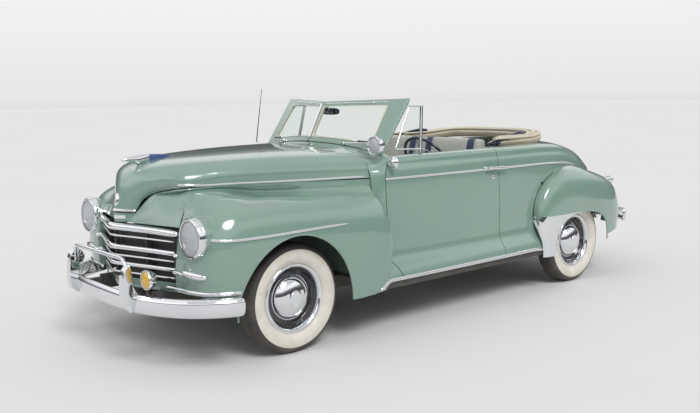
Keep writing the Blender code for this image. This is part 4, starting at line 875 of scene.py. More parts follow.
LENGTH = 5.000
FRONT_END, REAR_END = -LENGTH / 2, LENGTH / 2
FRONT_AXLE = FRONT_END + 0.964
REAR_AXLE = FRONT_AXLE + 2.972
FRONT_TRACK, REAR_TRACK = 1.448, 1.522
TYRE_RADIUS, TYRE_WIDTH, RIM_RADIUS = 0.352, 0.166, 0.205
BELT_Z, MOULDING_Z, SILL_Z = 1.190, 1.038, 0.3528
DOOR_FRONT, DOOR_REAR, DOOR_THICK, CABIN_X = -0.745, 0.445, 0.055, 0.715
SHUT_GAP, FENDER_CLEARANCE = 0.006, 0.0012
FLANK_X = 0.8  # outside this half width the arches cut the fenders
HEADLAMP = (0.685, -2.180, 0.800)
FLARE_TOP, FLARE_REACH = 0.560, 0.065
FLARE, WAIST, MID = 0.10, 0.26, 0.62
BELT_LEVEL, V_CENTRE = 6.0, 8.0
SIDE_LEVELS = (0.0, 0.6, 1.2, 1.8, 2.6, 3.4, 4.0, 4.5, 5.0, 5.5, 6.0)
DOOR_CUT_LEVELS, DOOR_CUT, DOOR_LEVEL = (0.0, 1.2, 1.8, 2.6), (0.095, 0.048, 0.010, 0.0), 0.10
HOOD_GAP = 0.008
ARCH_HOLE, ARCH_LEVEL = (1.00, 1.87), 3.4
WELL_END, WELL_LEVEL = 1.40, 6.20
LID_LEVEL, LID_GAP, LID_ENDS = 6.75, 0.050, (1.45, 2.125)
FRONT_ARCH = (FRONT_AXLE - 0.041, 0.430, 0.300, 0.772, 2.0)
REAR_ARCH = (REAR_AXLE, 0.385, 0.330, 0.610, 2.6)
GRILLE_TOP, GRILLE_EDGE = 0.842, 0.520
GRILLE_Y, GRILLE_SWEEP, GRILLE_HALF, BOW = -2.353, 0.36, 0.515, 0.030

# Body ribs: y, sill_z, sill_x, waist_x, mid_x, mould_x, mould_z, belt_x, belt_z, deck_z, corner, lean
BODY_RIBS = (
    (-0.845, SILL_Z, 0.865, 0.775, 0.775, 0.750, MOULDING_Z + 0.007, 0.660, 1.165, 1.258, 0.000, -0.035),
    (DOOR_FRONT, SILL_Z, 0.885, 0.803, 0.802, 0.788, MOULDING_Z + 0.004, 0.715, 1.186, 1.275, 0.115, 0.005),
    (DOOR_REAR, SILL_Z, 0.893, 0.818, 0.815, 0.800, MOULDING_Z - 0.003, 0.735, BELT_Z, 1.215, 0.000, 0.000),
    (0.950, SILL_Z, 0.885, 0.815, 0.805, 0.785, 1.032, 0.715, BELT_Z, 1.212, 0.000, 0.000),
    (1.280, 0.360, 0.840, 0.795, 0.785, 0.760, 1.022, 0.680, 1.180, 1.215, 0.000, 0.020),
    (1.620, 0.380, 0.770, 0.755, 0.745, 0.710, 0.985, 0.610, 1.120, 1.165, 0.010, 0.050),
    (1.880, 0.400, 0.700, 0.690, 0.680, 0.645, 0.920, 0.540, 1.020, 1.075, 0.020, 0.100),
    (2.050, 0.420, 0.620, 0.620, 0.610, 0.575, 0.830, 0.470, 0.900, 0.965, 0.035, 0.170),
    (2.130, 0.440, 0.560, 0.560, 0.550, 0.520, 0.700, 0.430, 0.755, 0.800, 0.050, 0.240),
    (2.150, 0.460, 0.520, 0.520, 0.510, 0.490, 0.560, 0.410, 0.600, 0.620, 0.060, 0.270),
)

# Hood ribs: mid_y, mid_z, edge_x, edge_y, edge_z, power of the curve across
HOOD_RIBS = (
    (-2.338, 0.918, 0.105, -2.243, 0.910, 1.50),
    (-2.318, 0.988, 0.160, -2.213, 0.988, 1.35),
    (-2.290, 1.075, 0.228, -2.172, 1.027, 1.15),
    (-2.228, 1.157, 0.310, -2.131, 1.049, 0.95),
    (-2.110, 1.203, 0.415, -2.056, 1.066, 0.80),
    (-1.960, 1.228, 0.475, -1.850, 1.072, 0.72),
    (-1.700, 1.244, 0.545, -1.600, 1.070, 0.66),
    (-1.330, 1.255, 0.630, -1.280, 1.066, 0.62),
    (-0.886, 1.258, 0.742, -0.853, 1.056, 0.62),
)

# Front fender ribs, nose seam to door: bottom, low, side, shoulder, crown, seam
FRONT_FENDER_RIBS = (
    ((0.098, -2.300, 0.465), (0.098, -2.298, 0.620), (0.098, -2.286, 0.800),
     (0.098, -2.274, 0.842), (0.098, -2.263, 0.868), (0.100, -2.254, 0.888)),
    ((0.290, -2.262, 0.465), (0.290, -2.258, 0.620), (0.290, -2.245, 0.800),
     (0.285, -2.226, 0.875), (0.262, -2.198, 0.945), (0.216, -2.190, 0.998)),
    ((0.470, -2.225, 0.465), (0.475, -2.222, 0.620), (0.475, -2.195, 0.800),
     (0.462, -2.160, 0.895), (0.420, -2.112, 0.970), (0.335, -2.100, 1.026)),
    ((0.630, -2.205, 0.462), (0.640, -2.208, 0.620), (0.640, -2.176, 0.800),
     (0.612, -2.130, 0.920), (0.540, -2.055, 0.998), (0.422, -2.030, 1.048)),
    ((0.770, -2.155, 0.458), (0.785, -2.162, 0.620), (0.782, -2.142, 0.800),
     (0.738, -2.085, 0.928), (0.645, -1.985, 1.005), (0.480, -1.860, 1.046)),
    ((0.845, -2.055, 0.448), (0.862, -2.058, 0.620), (0.856, -2.045, 0.800),
     (0.806, -1.995, 0.932), (0.700, -1.905, 1.004), (0.514, -1.745, 1.028)),
    ((0.872, -1.920, 0.430), (0.886, -1.915, 0.620), (0.878, -1.910, 0.800),
     (0.832, -1.880, 0.930), (0.712, -1.800, 0.992), (0.545, -1.640, 1.010)),
    ((0.893, -1.720, 0.385), (0.903, -1.720, 0.620), (0.895, -1.720, 0.800),
     (0.848, -1.700, 0.930), (0.730, -1.640, 0.990), (0.578, -1.510, 1.003)),
    ((0.905, -1.450, 0.340), (0.912, -1.450, 0.600), (0.904, -1.450, 0.785),
     (0.858, -1.450, 0.915), (0.745, -1.430, 0.975), (0.620, -1.360, 0.995)),
    ((0.906, -1.170, 0.300), (0.912, -1.170, 0.580), (0.903, -1.170, 0.765),
     (0.862, -1.180, 0.890), (0.780, -1.190, 0.960), (0.672, -1.190, 0.992)),
    ((0.908, -1.015, 0.300), (0.912, -0.975, 0.550), (0.902, -0.965, 0.740),
     (0.868, -0.985, 0.865), (0.805, -1.020, 0.945), (0.708, -1.045, 0.988)),
    ((0.908, -0.905, 0.308), (0.905, -0.810, 0.535), (0.893, -0.800, 0.700),
     (0.862, -0.825, 0.830), (0.820, -0.872, 0.925), (0.742, -0.925, 0.984)),
    ((0.902, -0.852, 0.312), (0.858, -0.764, 0.530), (0.828, -0.754, 0.700),
     (0.805, -0.784, 0.835), (0.791, -0.828, 0.920), (0.7526, -0.852, 0.985)),
)

# Rear fender ribs, door to tail: bottom, low, side, shoulder, crown, inner
REAR_FENDER_RIBS = (
    ((0.870, 0.918, 0.335), (0.825, 0.880, 0.500), (0.800, 0.880, 0.660),
     (0.795, 0.930, 0.790), (0.790, 1.050, 0.890), (0.770, 1.190, 0.950)),
    ((0.908, 0.945, 0.333), (0.898, 0.905, 0.500), (0.888, 0.915, 0.660),
     (0.872, 0.975, 0.800), (0.845, 1.090, 0.905), (0.765, 1.240, 0.970)),
    ((0.922, 1.090, 0.335), (0.923, 1.070, 0.520), (0.918, 1.080, 0.690),
     (0.898, 1.140, 0.845), (0.850, 1.225, 0.955), (0.745, 1.360, 1.000)),
    ((0.922, 1.450, 0.350), (0.926, 1.450, 0.550), (0.921, 1.450, 0.710),
     (0.892, 1.460, 0.872), (0.822, 1.480, 0.965), (0.700, 1.520, 0.995)),
    ((0.916, 1.780, 0.370), (0.922, 1.780, 0.550), (0.914, 1.760, 0.700),
     (0.880, 1.730, 0.842), (0.795, 1.700, 0.926), (0.650, 1.680, 0.948)),
    ((0.880, 2.010, 0.400), (0.887, 2.015, 0.530), (0.880, 2.005, 0.665),
     (0.840, 1.980, 0.796), (0.755, 1.920, 0.870), (0.610, 1.850, 0.886)),
    ((0.800, 2.115, 0.420), (0.803, 2.130, 0.520), (0.795, 2.125, 0.635),
     (0.760, 2.095, 0.742), (0.692, 2.035, 0.800), (0.560, 1.960, 0.806)),
    ((0.640, 2.150, 0.430), (0.640, 2.165, 0.510), (0.630, 2.152, 0.595),
     (0.610, 2.115, 0.672), (0.570, 2.060, 0.715), (0.480, 2.010, 0.725)),
)


def knotted(rows: Array, at: Array, knots: Array | None = None) -> Array:
    """The smooth curve through rows at their knots; with knots it never overshoots a row.

    Args:
        rows: The rows' values.
        at: Places to read.
        knots: The rows' places, whole numbers if left out.

    Returns:
        Values at those places, from cubic Hermite pieces with mean or harmonic mean slopes.
    """
    p = np.asarray(rows, float)
    k = np.arange(len(p), dtype=float) if knots is None else np.asarray(knots, float)
    column = (-1,) + (1,) * (p.ndim - 1)
    h = np.diff(k)
    slope = np.diff(p, axis=0) / h.reshape(column)
    if knots is None:
        middle = 0.5 * (slope[:-1] + slope[1:])
    else:
        product = np.maximum(slope[:-1] * slope[1:], 0)
        middle = 2 * product / np.where(product > 0, slope[:-1] + slope[1:], 1)
    tangent = np.concatenate([slope[:1], middle, slope[-1:]])
    at = np.atleast_1d(np.asarray(at, float))
    i = np.clip(np.searchsorted(k, at, side="right") - 1, 0, len(h) - 1)
    t = ((at - k[i]) / h[i]).reshape(column)
    step = h[i].reshape(column)
    return hermite(p[i], p[i + 1], tangent[i] * step, tangent[i + 1] * step, t)


def surface(ribs: Array, us: Array, vs: Array) -> Array:
    """The surface through ribs of levels, at rib numbers us and level numbers vs."""
    return np.swapaxes(knotted(np.swapaxes(knotted(ribs, us), 0, 1), vs), 0, 1)


def body_rib(y: float, sill_z: float, sill_x: float, waist_x: float, mid_x: float, mould_x: float,
             mould_z: float, belt_x: float, belt_z: float, deck_z: float, corner: float, lean: float) -> list:
    """The levels of one body rib, left sill to right sill, as x, y, z.

    Args:
        y: The rib's place.
        sill_z: Height of its foot.
        sill_x: Half width of the foot.
        waist_x: Half width above the flare.
        mid_x: Half width halfway up.
        mould_x: Half width at the moulding.
        mould_z: Height of the moulding.
        belt_x: Half width at the belt.
        belt_z: Height of the belt.
        deck_z: Height on the middle.
        corner: How far back the belt stands.
        lean: How far back the middle stands.

    Returns:
        Seventeen points, from sill to sill.
    """
    rise = mould_z - sill_z
    left = [
        (sill_x, y, sill_z),
        (0.70 * sill_x + 0.30 * waist_x, y, sill_z + FLARE * rise),
        (waist_x, y, sill_z + WAIST * rise),
        (mid_x, y, sill_z + MID * rise),
        (mould_x, y, mould_z),
        (0.5 * (mould_x + belt_x) + 0.014, y + 0.3 * corner, 0.5 * (mould_z + belt_z) + 0.012),
        (belt_x, y + corner, belt_z),
        (0.57 * belt_x, y + 0.6 * (corner + lean), belt_z + 0.72 * (deck_z - belt_z)),
    ]
    return left + [(0.0, y + lean, deck_z)] + [(-x, at, z) for x, at, z in reversed(left)]


BODY = np.array([body_rib(*row) for row in BODY_RIBS])
RIB_Y = np.array([row[0] for row in BODY_RIBS])


def body_grid(ys: Array, vs: Array) -> Array:
    """Points of the body surface at levels vs; ys is one place a station, or a column for each level.

    Args:
        ys: Places along the car.
        vs: Level numbers.

    Returns:
        A grid, places by levels.
    """
    vs = np.asarray(vs, float)
    ys = np.asarray(ys, float)
    if ys.ndim == 1:
        ys = np.repeat(ys[:, None], len(vs), axis=1)
    levels = knotted(np.swapaxes(BODY, 0, 1), vs)
    return np.stack([knotted(levels[j], ys[:, j], RIB_Y) for j in range(len(vs))], axis=1)


TABLE = body_grid(np.linspace(RIB_Y[0], RIB_Y[-1], 400), np.array(SIDE_LEVELS))


def side_x(y: Array, z: Array) -> Array:
    """Half width of the body side at places along the car and heights, by linear tables.

    Args:
        y: Places along the car.
        z: Heights.

    Returns:
        A half width for each pair of them.
    """
    y, z = np.broadcast_arrays(np.asarray(y, float), np.asarray(z, float))
    shape = y.shape
    y, z = y.ravel(), z.ravel()
    xs = np.stack([np.interp(y, TABLE[:, j, 1], TABLE[:, j, 0]) for j in range(TABLE.shape[1])])
    zs = np.stack([np.interp(y, TABLE[:, j, 1], TABLE[:, j, 2]) for j in range(TABLE.shape[1])])
    low = np.clip((zs < z).sum(axis=0) - 1, 0, len(zs) - 2)
    pick = np.arange(len(y))
    share = np.clip((z - zs[low, pick]) / np.maximum(zs[low + 1, pick] - zs[low, pick], 1e-9), 0, 1)
    return (xs[low, pick] * (1 - share) + xs[low + 1, pick] * share).reshape(shape)


def outside_body(grid: Array, clearance: float) -> Array:
    """The grid with every point inside the body side moved out to it.

    Args:
        grid: Grid of points on the left.
        clearance: How far off the body they end.

    Returns:
        The grid, changed in x only.
    """
    result = grid.copy()
    y, z = grid[..., 1], grid[..., 2]
    foot = np.where(z < FLARE_TOP, z - FLARE_REACH, z)
    inside = (y >= RIB_Y[0] - 0.004) & (y <= RIB_Y[-1])
    result[..., 0] = np.where(inside, np.maximum(grid[..., 0], side_x(y, foot) + clearance), grid[..., 0])
    return result


def core_line(grid: Array, run: tuple[float, float], x: float, z: float) -> Array:
    """For each point of a grid, the nearest place along the car on a line inside it, between two ends."""
    return xyz(x, np.clip(grid[..., 1], *run), z)


def body_core(grid: Array) -> Array:
    """Points inside the body that its sheets' thickness faces."""
    return core_line(grid, (FRONT_AXLE, 1.45), 0.0, 0.70)


def both_sides(levels: Array) -> Array:
    """Levels of the left half, with the right half's added in reverse."""
    left = np.asarray(levels, float)
    return np.concatenate([left, 2 * V_CENTRE - left[left < V_CENTRE][::-1]])


def door_edge(vs: Array) -> Array:
    """Where the door's front edge stands at each level."""
    level = np.minimum(vs, 2 * V_CENTRE - vs)
    return DOOR_FRONT + np.interp(level, DOOR_CUT_LEVELS, DOOR_CUT)


def hood_edge(t: Array) -> Array:
    """The hood's lower edge at fractional rib numbers."""
    return knotted([row[2:5] for row in HOOD_RIBS], t)


def hood_grid(ts: Array, turns: Array) -> Array:
    """Points of the hood: y and z rise from edge to middle by sin^power, x narrows by cos^power.

    Args:
        ts: Fractional rib numbers.
        turns: Angles from the left edge, 0, to the right, pi.

    Returns:
        A grid, ribs by angles.
    """
    ribs = knotted(HOOD_RIBS, ts)
    mid_y, mid_z, edge_x, edge_y, edge_z, power = (ribs[:, k, None] for k in range(6))
    rise = np.maximum(np.sin(turns), 0) ** power
    return xyz(edge_x * bowed(np.cos(turns), power), edge_y + (mid_y - edge_y) * rise,
               edge_z + (mid_z - edge_z) * rise)


def front_fender_ribs() -> Array:
    """The front fender's ribs with the strip that rises to the hood's edge."""
    steps = (0.0, 1.7, 3.1, 4.0, 4.9, 5.4, 5.85, 6.3, 6.6, 7.15, 7.5, 7.8, 8.0)
    hems = hood_edge(np.array(steps)) + np.array((0.003, 0.0, -HOOD_GAP))
    return np.concatenate([np.array(FRONT_FENDER_RIBS), hems[:, None]], axis=1)


def in_arch(points: Array, arch: tuple[float, ...]) -> Array:
    """Which points lie inside a wheel opening: |y|^n + |z|^n below 1 in its own half sizes.

    Args:
        points: Points to test.
        arch: Middle y, half length, foot z, top z and power n.

    Returns:
        True for each point inside.
    """
    y, half, foot, top, fullness = arch
    across = np.abs((points[..., 1] - y) / half)
    rise = np.maximum(points[..., 2] - foot, 0) / (top - foot)
    return across ** fullness + rise ** fullness < 1


def swept_back(x: Array) -> Array:
    """Distance from the middle, rounded off at the prow."""
    return np.hypot(x, BOW) - BOW


def nose_curve(x: Array) -> Array:
    """How far forward the grille's face stands at a distance from the middle."""
    return GRILLE_Y + GRILLE_SWEEP * swept_back(x)


# Body panels


def thickened(outer: Array, depth: float, core: Array) -> Array:
    """The grid a sheet's thickness inside another, along its normals."""
    return outer - grid_normals(outer, core) * depth


@dataclass
class Bodywork(Assembly):
    """The painted panels, each a dense sheet on the same surfaces as the CAD's."""

    sheet: float = 0.020
    lid_sheet: float = 0.014
    hinge_x: float = 0.808
    sweep_gap: float = 0.0045
    fender_sheet: float = 0.009

    def build(self) -> None:
        """Makes every panel."""
        self.add_cowl()
        self.add_rear_body()
        self.add_trunk_lid()
        self.add_hood()
        for side in Side:
            self.add_door(side)
            self.add_front_fender(side)
            self.add_rear_fender(side)

    def add_cowl(self) -> None:
        """Cowl top and sides."""
        vs = both_sides(np.concatenate([np.linspace(0, 6, 61), np.linspace(6, 8, 25)[1:]]))
        stops = door_edge(vs) - SHUT_GAP / 2
        ys = RIB_Y[0] + np.linspace(0, 1, 13)[:, None] * (stops - RIB_Y[0])[None]
        outer = body_grid(ys, vs)
        inner = thickened(outer, self.sheet, body_core(outer))
        inner[0, :, 1], inner[-1, :, 1] = outer[0, :, 1], outer[-1, :, 1]
        inner[..., 2] = np.maximum(inner[..., 2], outer[:, :1, 2])
        jamb = (vs <= BELT_LEVEL) | (vs >= 2 * V_CENTRE - BELT_LEVEL)
        inner[-1, jamb] = outer[-1, jamb] - np.sign(outer[-1, jamb]) * (self.sheet, 0, 0)
        self.piece("cowl_panel", sheet_form(outer, inner), ENAMEL, instead=("cowl",), bevel=0.002)

    def add_rear_body(self) -> None:
        """Quarters, deck and tail, open over the cabin, at the boot lid and inside the fenders."""
        start = DOOR_REAR + SHUT_GAP / 2
        ys = np.unique(np.concatenate([np.linspace(start, ARCH_HOLE[0], 21),
                                       np.linspace(ARCH_HOLE[0], WELL_END, 15),
                                       np.linspace(WELL_END, LID_ENDS[0], 4), np.linspace(*LID_ENDS, 31),
                                       ARCH_HOLE[1:], np.linspace(LID_ENDS[1], RIB_Y[-1], 5)]).round(6))
        vs = both_sides(np.unique(np.concatenate([np.linspace(0, ARCH_LEVEL, 29),
                                                  np.linspace(ARCH_LEVEL, 6, 25), [WELL_LEVEL],
                                                  np.linspace(WELL_LEVEL, LID_LEVEL, 7),
                                                  np.linspace(LID_LEVEL, 8, 15)]).round(6)))
        outer = body_grid(ys, vs)
        y = 0.5 * (ys[1:] + ys[:-1])[:, None]
        v = 0.5 * (vs[1:] + vs[:-1])
        v = np.minimum(v, 2 * V_CENTRE - v)[None]
        arch = (y > ARCH_HOLE[0]) & (y < ARCH_HOLE[1]) & (v < ARCH_LEVEL)
        well = (y < WELL_END) & (v > WELL_LEVEL)
        lid = (y > LID_ENDS[0]) & (y < LID_ENDS[1]) & (v > LID_LEVEL)
        inner = thickened(outer, self.sheet, body_core(outer))
        inner[0, :, 1] = outer[0, :, 1]
        inner[..., 2] = np.maximum(inner[..., 2], outer[:, :1, 2])
        self.piece("rear_body_panel", sheet_form(outer, inner, ~(arch | well | lid)), ENAMEL,
                   instead=("rear_body",), bevel=0.003)

    def add_trunk_lid(self) -> None:
        """The boot lid between its shut lines."""
        ys = np.linspace(LID_ENDS[0] + SHUT_GAP, LID_ENDS[1] - SHUT_GAP, 49)
        vs = both_sides(np.linspace(LID_LEVEL + LID_GAP, 8, 31))
        outer = body_grid(ys, vs)
        inner = thickened(outer, self.lid_sheet, body_core(outer))
        inner[0, :, 1] = outer[0, :, 1]
        self.piece("boot_lid_panel", sheet_form(outer, inner), ENAMEL, "trunk_lid", instead=("trunk_lid",),
                   bevel=0.003)

    def add_hood(self) -> None:
        """The hood from nose to cowl."""
        outer = hood_grid(np.linspace(0, len(HOOD_RIBS) - 1, 97), np.linspace(0, math.pi, 97))
        inner = thickened(outer, self.lid_sheet, core_line(outer, (-1.95, -1.0), 0.0, 0.85))
        inner[-1, :, 1] = outer[-1, :, 1]
        self.piece("hood_panel", sheet_form(outer, inner), ENAMEL, "hood", instead=("hood",), bevel=0.002)

    def add_door(self, side: Side) -> None:
        """One door: outer skin with the flare at its foot, and a flat inner face.

        The front wall is a plane that clears the cowl as the foot swings: it touches the circle of radius
        |start| - gap round the hinge, and the inner face begins behind the line
        x cos(turn) + y sin(turn) = keep.

        Args:
            side: The side it is made for.
        """
        vs = np.concatenate([np.linspace(DOOR_LEVEL, 2.6, 27), np.linspace(2.6, 6, 35)[1:]])
        starts = door_edge(vs) + SHUT_GAP / 2
        ys = starts[None] + np.linspace(0, 1, 49)[:, None] * (DOOR_REAR - SHUT_GAP / 2 - starts)[None]
        outer = body_grid(ys, vs)
        inner = outer.copy()
        inner[..., 0] = np.minimum(outer[..., 0] - DOOR_THICK, CABIN_X)
        start_x, start_y = outer[0, :, 0] - self.hinge_x, outer[0, :, 1] - DOOR_FRONT
        radius = np.hypot(start_x, start_y)
        keep = np.maximum(radius - self.sweep_gap, 0)
        turn = np.arctan2(start_y, start_x) + np.arccos(np.clip(keep / np.maximum(radius, 1e-6), 0, 1))
        behind = (keep - (inner[..., 0] - self.hinge_x) * np.cos(turn)) / np.maximum(np.sin(turn), 0.2)
        inner[..., 1] = np.where(np.sin(turn) > 0.2, np.maximum(inner[..., 1], DOOR_FRONT + behind),
                                 inner[..., 1])
        self.piece("door_panel", sheet_form(outer, inner), ENAMEL, f"door_{side.word}", side,
                   instead=(f"door_{side.word}",), bevel=0.003)

    def trimmed(self, ribs: Array, us: Array, top: float, count: int,
                cut: Callable[[Array], Array]) -> Array:
        """A fender surface whose columns start where they leave a cut.

        Args:
            ribs: The fender's ribs.
            us: Rib numbers of the columns.
            top: The highest level.
            count: Points in a column.
            cut: Tells of a grid of points which lie in the cut.

        Returns:
            A grid: each column runs from its lowest kept level to the top in equal steps.
        """
        steps = 400
        fine = np.linspace(0, top, steps + 1)
        dense = surface(ribs, us, fine)
        inside = cut(dense)
        last = np.where(inside.any(axis=1), steps + 1 - np.argmax(inside[:, ::-1], axis=1), 0)
        start = fine[np.minimum(last, steps - 1)]
        levels = start[:, None] + np.linspace(0, 1, count)[None] * (top - start)[:, None]
        place = levels / top * steps
        low = np.clip(place.astype(int), 0, steps - 1)
        share = (place - low)[..., None]
        rows = np.arange(len(us))[:, None]
        return dense[rows, low] * (1 - share) + dense[rows, low + 1] * share

    def add_front_fender(self, side: Side) -> None:
        """One front fender from the nose seam to the door, with its wheel opening and rolled lip.

        Args:
            side: The side it is made for.
        """
        ribs = front_fender_ribs()
        edge = np.linspace(2, 3, 2001)
        seam = edge[np.argmin(np.abs(surface(ribs, edge, np.array([1.0]))[:, 0, 0] - GRILLE_EDGE))]
        before = 48
        us = np.concatenate([np.linspace(0, seam - 1e-4, before), np.linspace(seam + 1e-4, 5, 44),
                             np.linspace(5, 12, 170)[1:]])

        def cut(points: Array) -> Array:
            """Which points lie in the grille's opening or in the wheel's."""
            grille = (points[..., 0] < GRILLE_EDGE) & (points[..., 2] < GRILLE_TOP) & (points[..., 1] < -2.0)
            grille[before + 1:] = False
            return grille | (in_arch(points, FRONT_ARCH) & (points[..., 0] > FLANK_X))

        outer = self.trimmed(ribs, us, 6.0, 46, cut)
        inner = thickened(outer, self.fender_sheet, core_line(outer, (-1.95, -1.0), 0.55, 0.60))
        inner[0, :, 0] = outer[0, :, 0]
        outer, inner = outside_body(outer, FENDER_CLEARANCE), outside_body(inner, FENDER_CLEARANCE)
        self.piece("front_fender_panel", sheet_form(outer, inner), ENAMEL, side=side,
                   instead=(f"front_fender_{side.word}",))
        self.add_lip("front_arch_lip", outer, FRONT_ARCH, side)

    def add_rear_fender(self, side: Side) -> None:
        """One rear fender with its wheel opening and rolled lip.

        Args:
            side: The side it is made for.
        """
        us = np.linspace(0, 7, 210)
        outer = self.trimmed(np.array(REAR_FENDER_RIBS), us, 5.0, 40,
                             lambda p: in_arch(p, REAR_ARCH) & (p[..., 0] > FLANK_X))
        inner = thickened(outer, self.fender_sheet, core_line(outer, (1.25, 1.75), 0.60, 0.50))
        outer, inner = outside_body(outer, FENDER_CLEARANCE), outside_body(inner, FENDER_CLEARANCE)
        self.piece("rear_fender_panel", sheet_form(outer, inner), ENAMEL, side=side,
                   instead=(f"rear_fender_{side.word}",))
        self.add_lip("rear_arch_lip", outer, REAR_ARCH, side)

    def add_lip(self, name: str, outer: Array, arch: tuple[float, ...], side: Side) -> None:
        """The rolled edge of a wheel opening: a round bar along the arch's outline on the fender's face.

        Args:
            name: The piece's name, without its side.
            outer: The fender's face on the left.
            arch: The wheel opening.
            side: The side it is made for.
        """
        y, half, foot, top, fullness = arch
        turn = np.linspace(0, math.pi, 121)
        ys, zs = (y + half * bowed(np.cos(turn), 2 / fullness),
                  foot + (top - foot) * np.maximum(np.sin(turn), 0) ** (2 / fullness))
        flat = outer.reshape(-1, 3)
        near = np.argmin((flat[None, :, 1] - ys[:, None]) ** 2 + (flat[None, :, 2] - zs[:, None]) ** 2
                         + np.where(flat[None, :, 0] < FLANK_X, 9.0, 0.0), axis=1)
        xs = np.convolve(np.pad(flat[near, 0], 4, mode="edge"), np.ones(9) / 9, mode="valid")
        path = xyz(xs - 0.0035, ys, zs)
        self.piece(name, tube(path, 0.0055, 8), ENAMEL, side=side)


# Wheels


@dataclass
class Wheels(Assembly):
    """Four tyres with whitewalls on black wheels with bright rings and caps."""

    turns: int = 120
    tread_half: float = 0.056
    groove_depth: float = 0.0055
    band: tuple[float, float] = (0.2235, 0.3120)

    def build(self) -> None:
        """Makes all four corners."""
        for side in Side:
            self.add_corner(f"front_{side.word}", FRONT_TRACK / 2, FRONT_AXLE, side)
            self.add_corner(f"rear_{side.word}", REAR_TRACK / 2, REAR_AXLE, side)

    def add_corner(self, name: str, x: float, y: float, side: Side) -> None:
        """One wheel with its tyre.

        Args:
            name: The wheel's name.
            x: Its place across, on the left.
            y: Its place along the car.
            side: The side it is made for.
        """
        body = f"wheel_{name}"

        def placed(form: Form) -> Form:
            """A form made round the x axis, put on this wheel's centre."""
            return form.outward().moved((x, y, TYRE_RADIUS)).mirrored(side)

        self.piece(f"tyre_body_{name}", placed(self.tyre()), RUBBER, body, instead=(f"tyre_{name}",), smooth=50)
        self.piece(f"whitewall_{name}", placed(self.whitewall()), WHITEWALL, body)
        self.piece(f"wheel_disc_{name}", placed(self.disc()), WHEEL_BLACK, body, instead=(f"wheel_{name}",))
        self.piece(f"trim_ring_{name}", placed(self.trim_ring()), CHROME, body)
        self.piece(f"hub_cap_{name}", placed(self.cap()), CHROME, body)
        valve = np.array(((0.030, 0.0, 0.176), (0.046, 0.0, 0.180), (0.062, 0.0, 0.182)))
        self.piece(f"valve_{name}", placed(tube(valve, np.array((0.0045, 0.004, 0.0035)), 10)), SEAL, body,
                   slot="tyre")

    def side_curve(self) -> Array:
        """The sidewall's curve from bead to shoulder as (x, radius)."""
        r, w = RIM_RADIUS, TYRE_WIDTH / 2
        points = ((0.0565, r + 0.0010), (0.0575, r + 0.018), (w - 0.012, r + 0.036), (w - 0.002, 0.262),
                  (w, 0.286), (w - 0.005, 0.316), (w - 0.014, 0.334), (w - 0.024, 0.3445))
        return knotted(points, np.linspace(0, len(points) - 1, 28))

    def tyre(self) -> Form:
        """The carcass: the side curve and crown, less a groove mask of zigzag lines and shoulder notches."""
        half = self.side_curve()
        across = np.linspace(half[-1, 0], -half[-1, 0], 58)[1:-1]
        crown = TYRE_RADIUS - 0.0075 * np.abs(across / half[-1, 0]) ** 3
        profile = np.concatenate([half, np.stack([across, crown], axis=1), half[::-1] * (-1, 1)])
        turn = full_turn(self.turns * 2)
        x, radius = profile[:, :1], profile[:, 1:]
        wave = 0.0035 * (2 / math.pi) * np.arcsin(np.sin(turn * 60))[None]
        lines = np.min(np.abs((x + wave)[..., None] - np.array((-0.036, -0.012, 0.012, 0.036))), axis=-1)
        tread = np.abs(x) < self.tread_half
        groove = np.clip(1.6 - lines / 0.0020, 0, 1) * tread
        notch = (np.abs(x) > 0.046) * (np.abs(x) < 0.066) * (radius > 0.33) * (np.sin(turn * 72)[None] > 0.55)
        radius = radius - self.groove_depth * np.maximum(groove, notch * 0.7)
        return grid_form(xyz(x, radius * np.cos(turn), radius * np.sin(turn)), round_u=True, round_v=True)

    def whitewall(self) -> Form:
        """The white band: the sidewall's curve between two radii, stood 0.8 mm proud."""
        curve = self.side_curve()
        low, high = self.band
        radii = np.linspace(low, high, 18)
        xs = np.interp(radii, curve[:, 1], curve[:, 0])
        face = np.stack([xs + 0.0009, radii], axis=1)
        face[[0, -1], 0] -= 0.0008
        back = np.stack([xs - 0.003, radii], axis=1)[::-1]
        return lathe(np.concatenate([face, back]), self.turns, ring=True)

    def disc(self) -> Form:
        """Rim, disc and brake drum turned in one."""
        r = RIM_RADIUS
        profile = ((0.02, 0.0), (0.02, 0.06), (0.022, 0.11), (0.018, 0.137), (0.006, 0.16), (0.004, 0.176),
                   (0.014, 0.186), (0.04, 0.194), (0.056, 0.2), (0.062, 0.208), (0.0635, 0.216),
                   (0.0625, 0.2215), (0.0585, 0.2225), (0.0562, r + 0.015), (0.0555, r), (-0.0555, r),
                   (-0.0562, r + 0.017), (-0.062, r + 0.017), (-0.062, r - 0.006), (-0.004, r - 0.018),
                   (-0.004, 0.14), (-0.055, 0.14), (-0.055, 0.03), (-0.055, 0.0))
        return lathe(np.array(profile), self.turns)

    def trim_ring(self) -> Form:
        """The bright ring on the rim, with a rolled outer edge."""
        face = ((0.038, 0.1925), (0.048, 0.1950), (0.058, 0.1995), (0.0645, 0.2060), (0.0668, 0.2130),
                (0.0660, 0.2200), (0.0620, 0.2240))
        outer = knotted(face, np.linspace(0, 6, 22))
        inner = outer[::-1] - np.array((0.0035, 0.0))
        return lathe(np.concatenate([outer, inner]), self.turns, ring=True)

    def cap(self) -> Form:
        """The domed cap with one raised step round its middle."""
        face = ((0.08, 0.0), (0.0798, 0.02), (0.0788, 0.042), (0.0768, 0.046), (0.0745, 0.052), (0.069, 0.075),
                (0.0595, 0.098), (0.046, 0.118), (0.033, 0.131), (0.024, 0.1365), (0.017, 0.138),
                (0.015, 0.134), (0.015, 0.0))
        return lathe(knotted(face, np.linspace(0, 12, 61)), self.turns)


# The front end


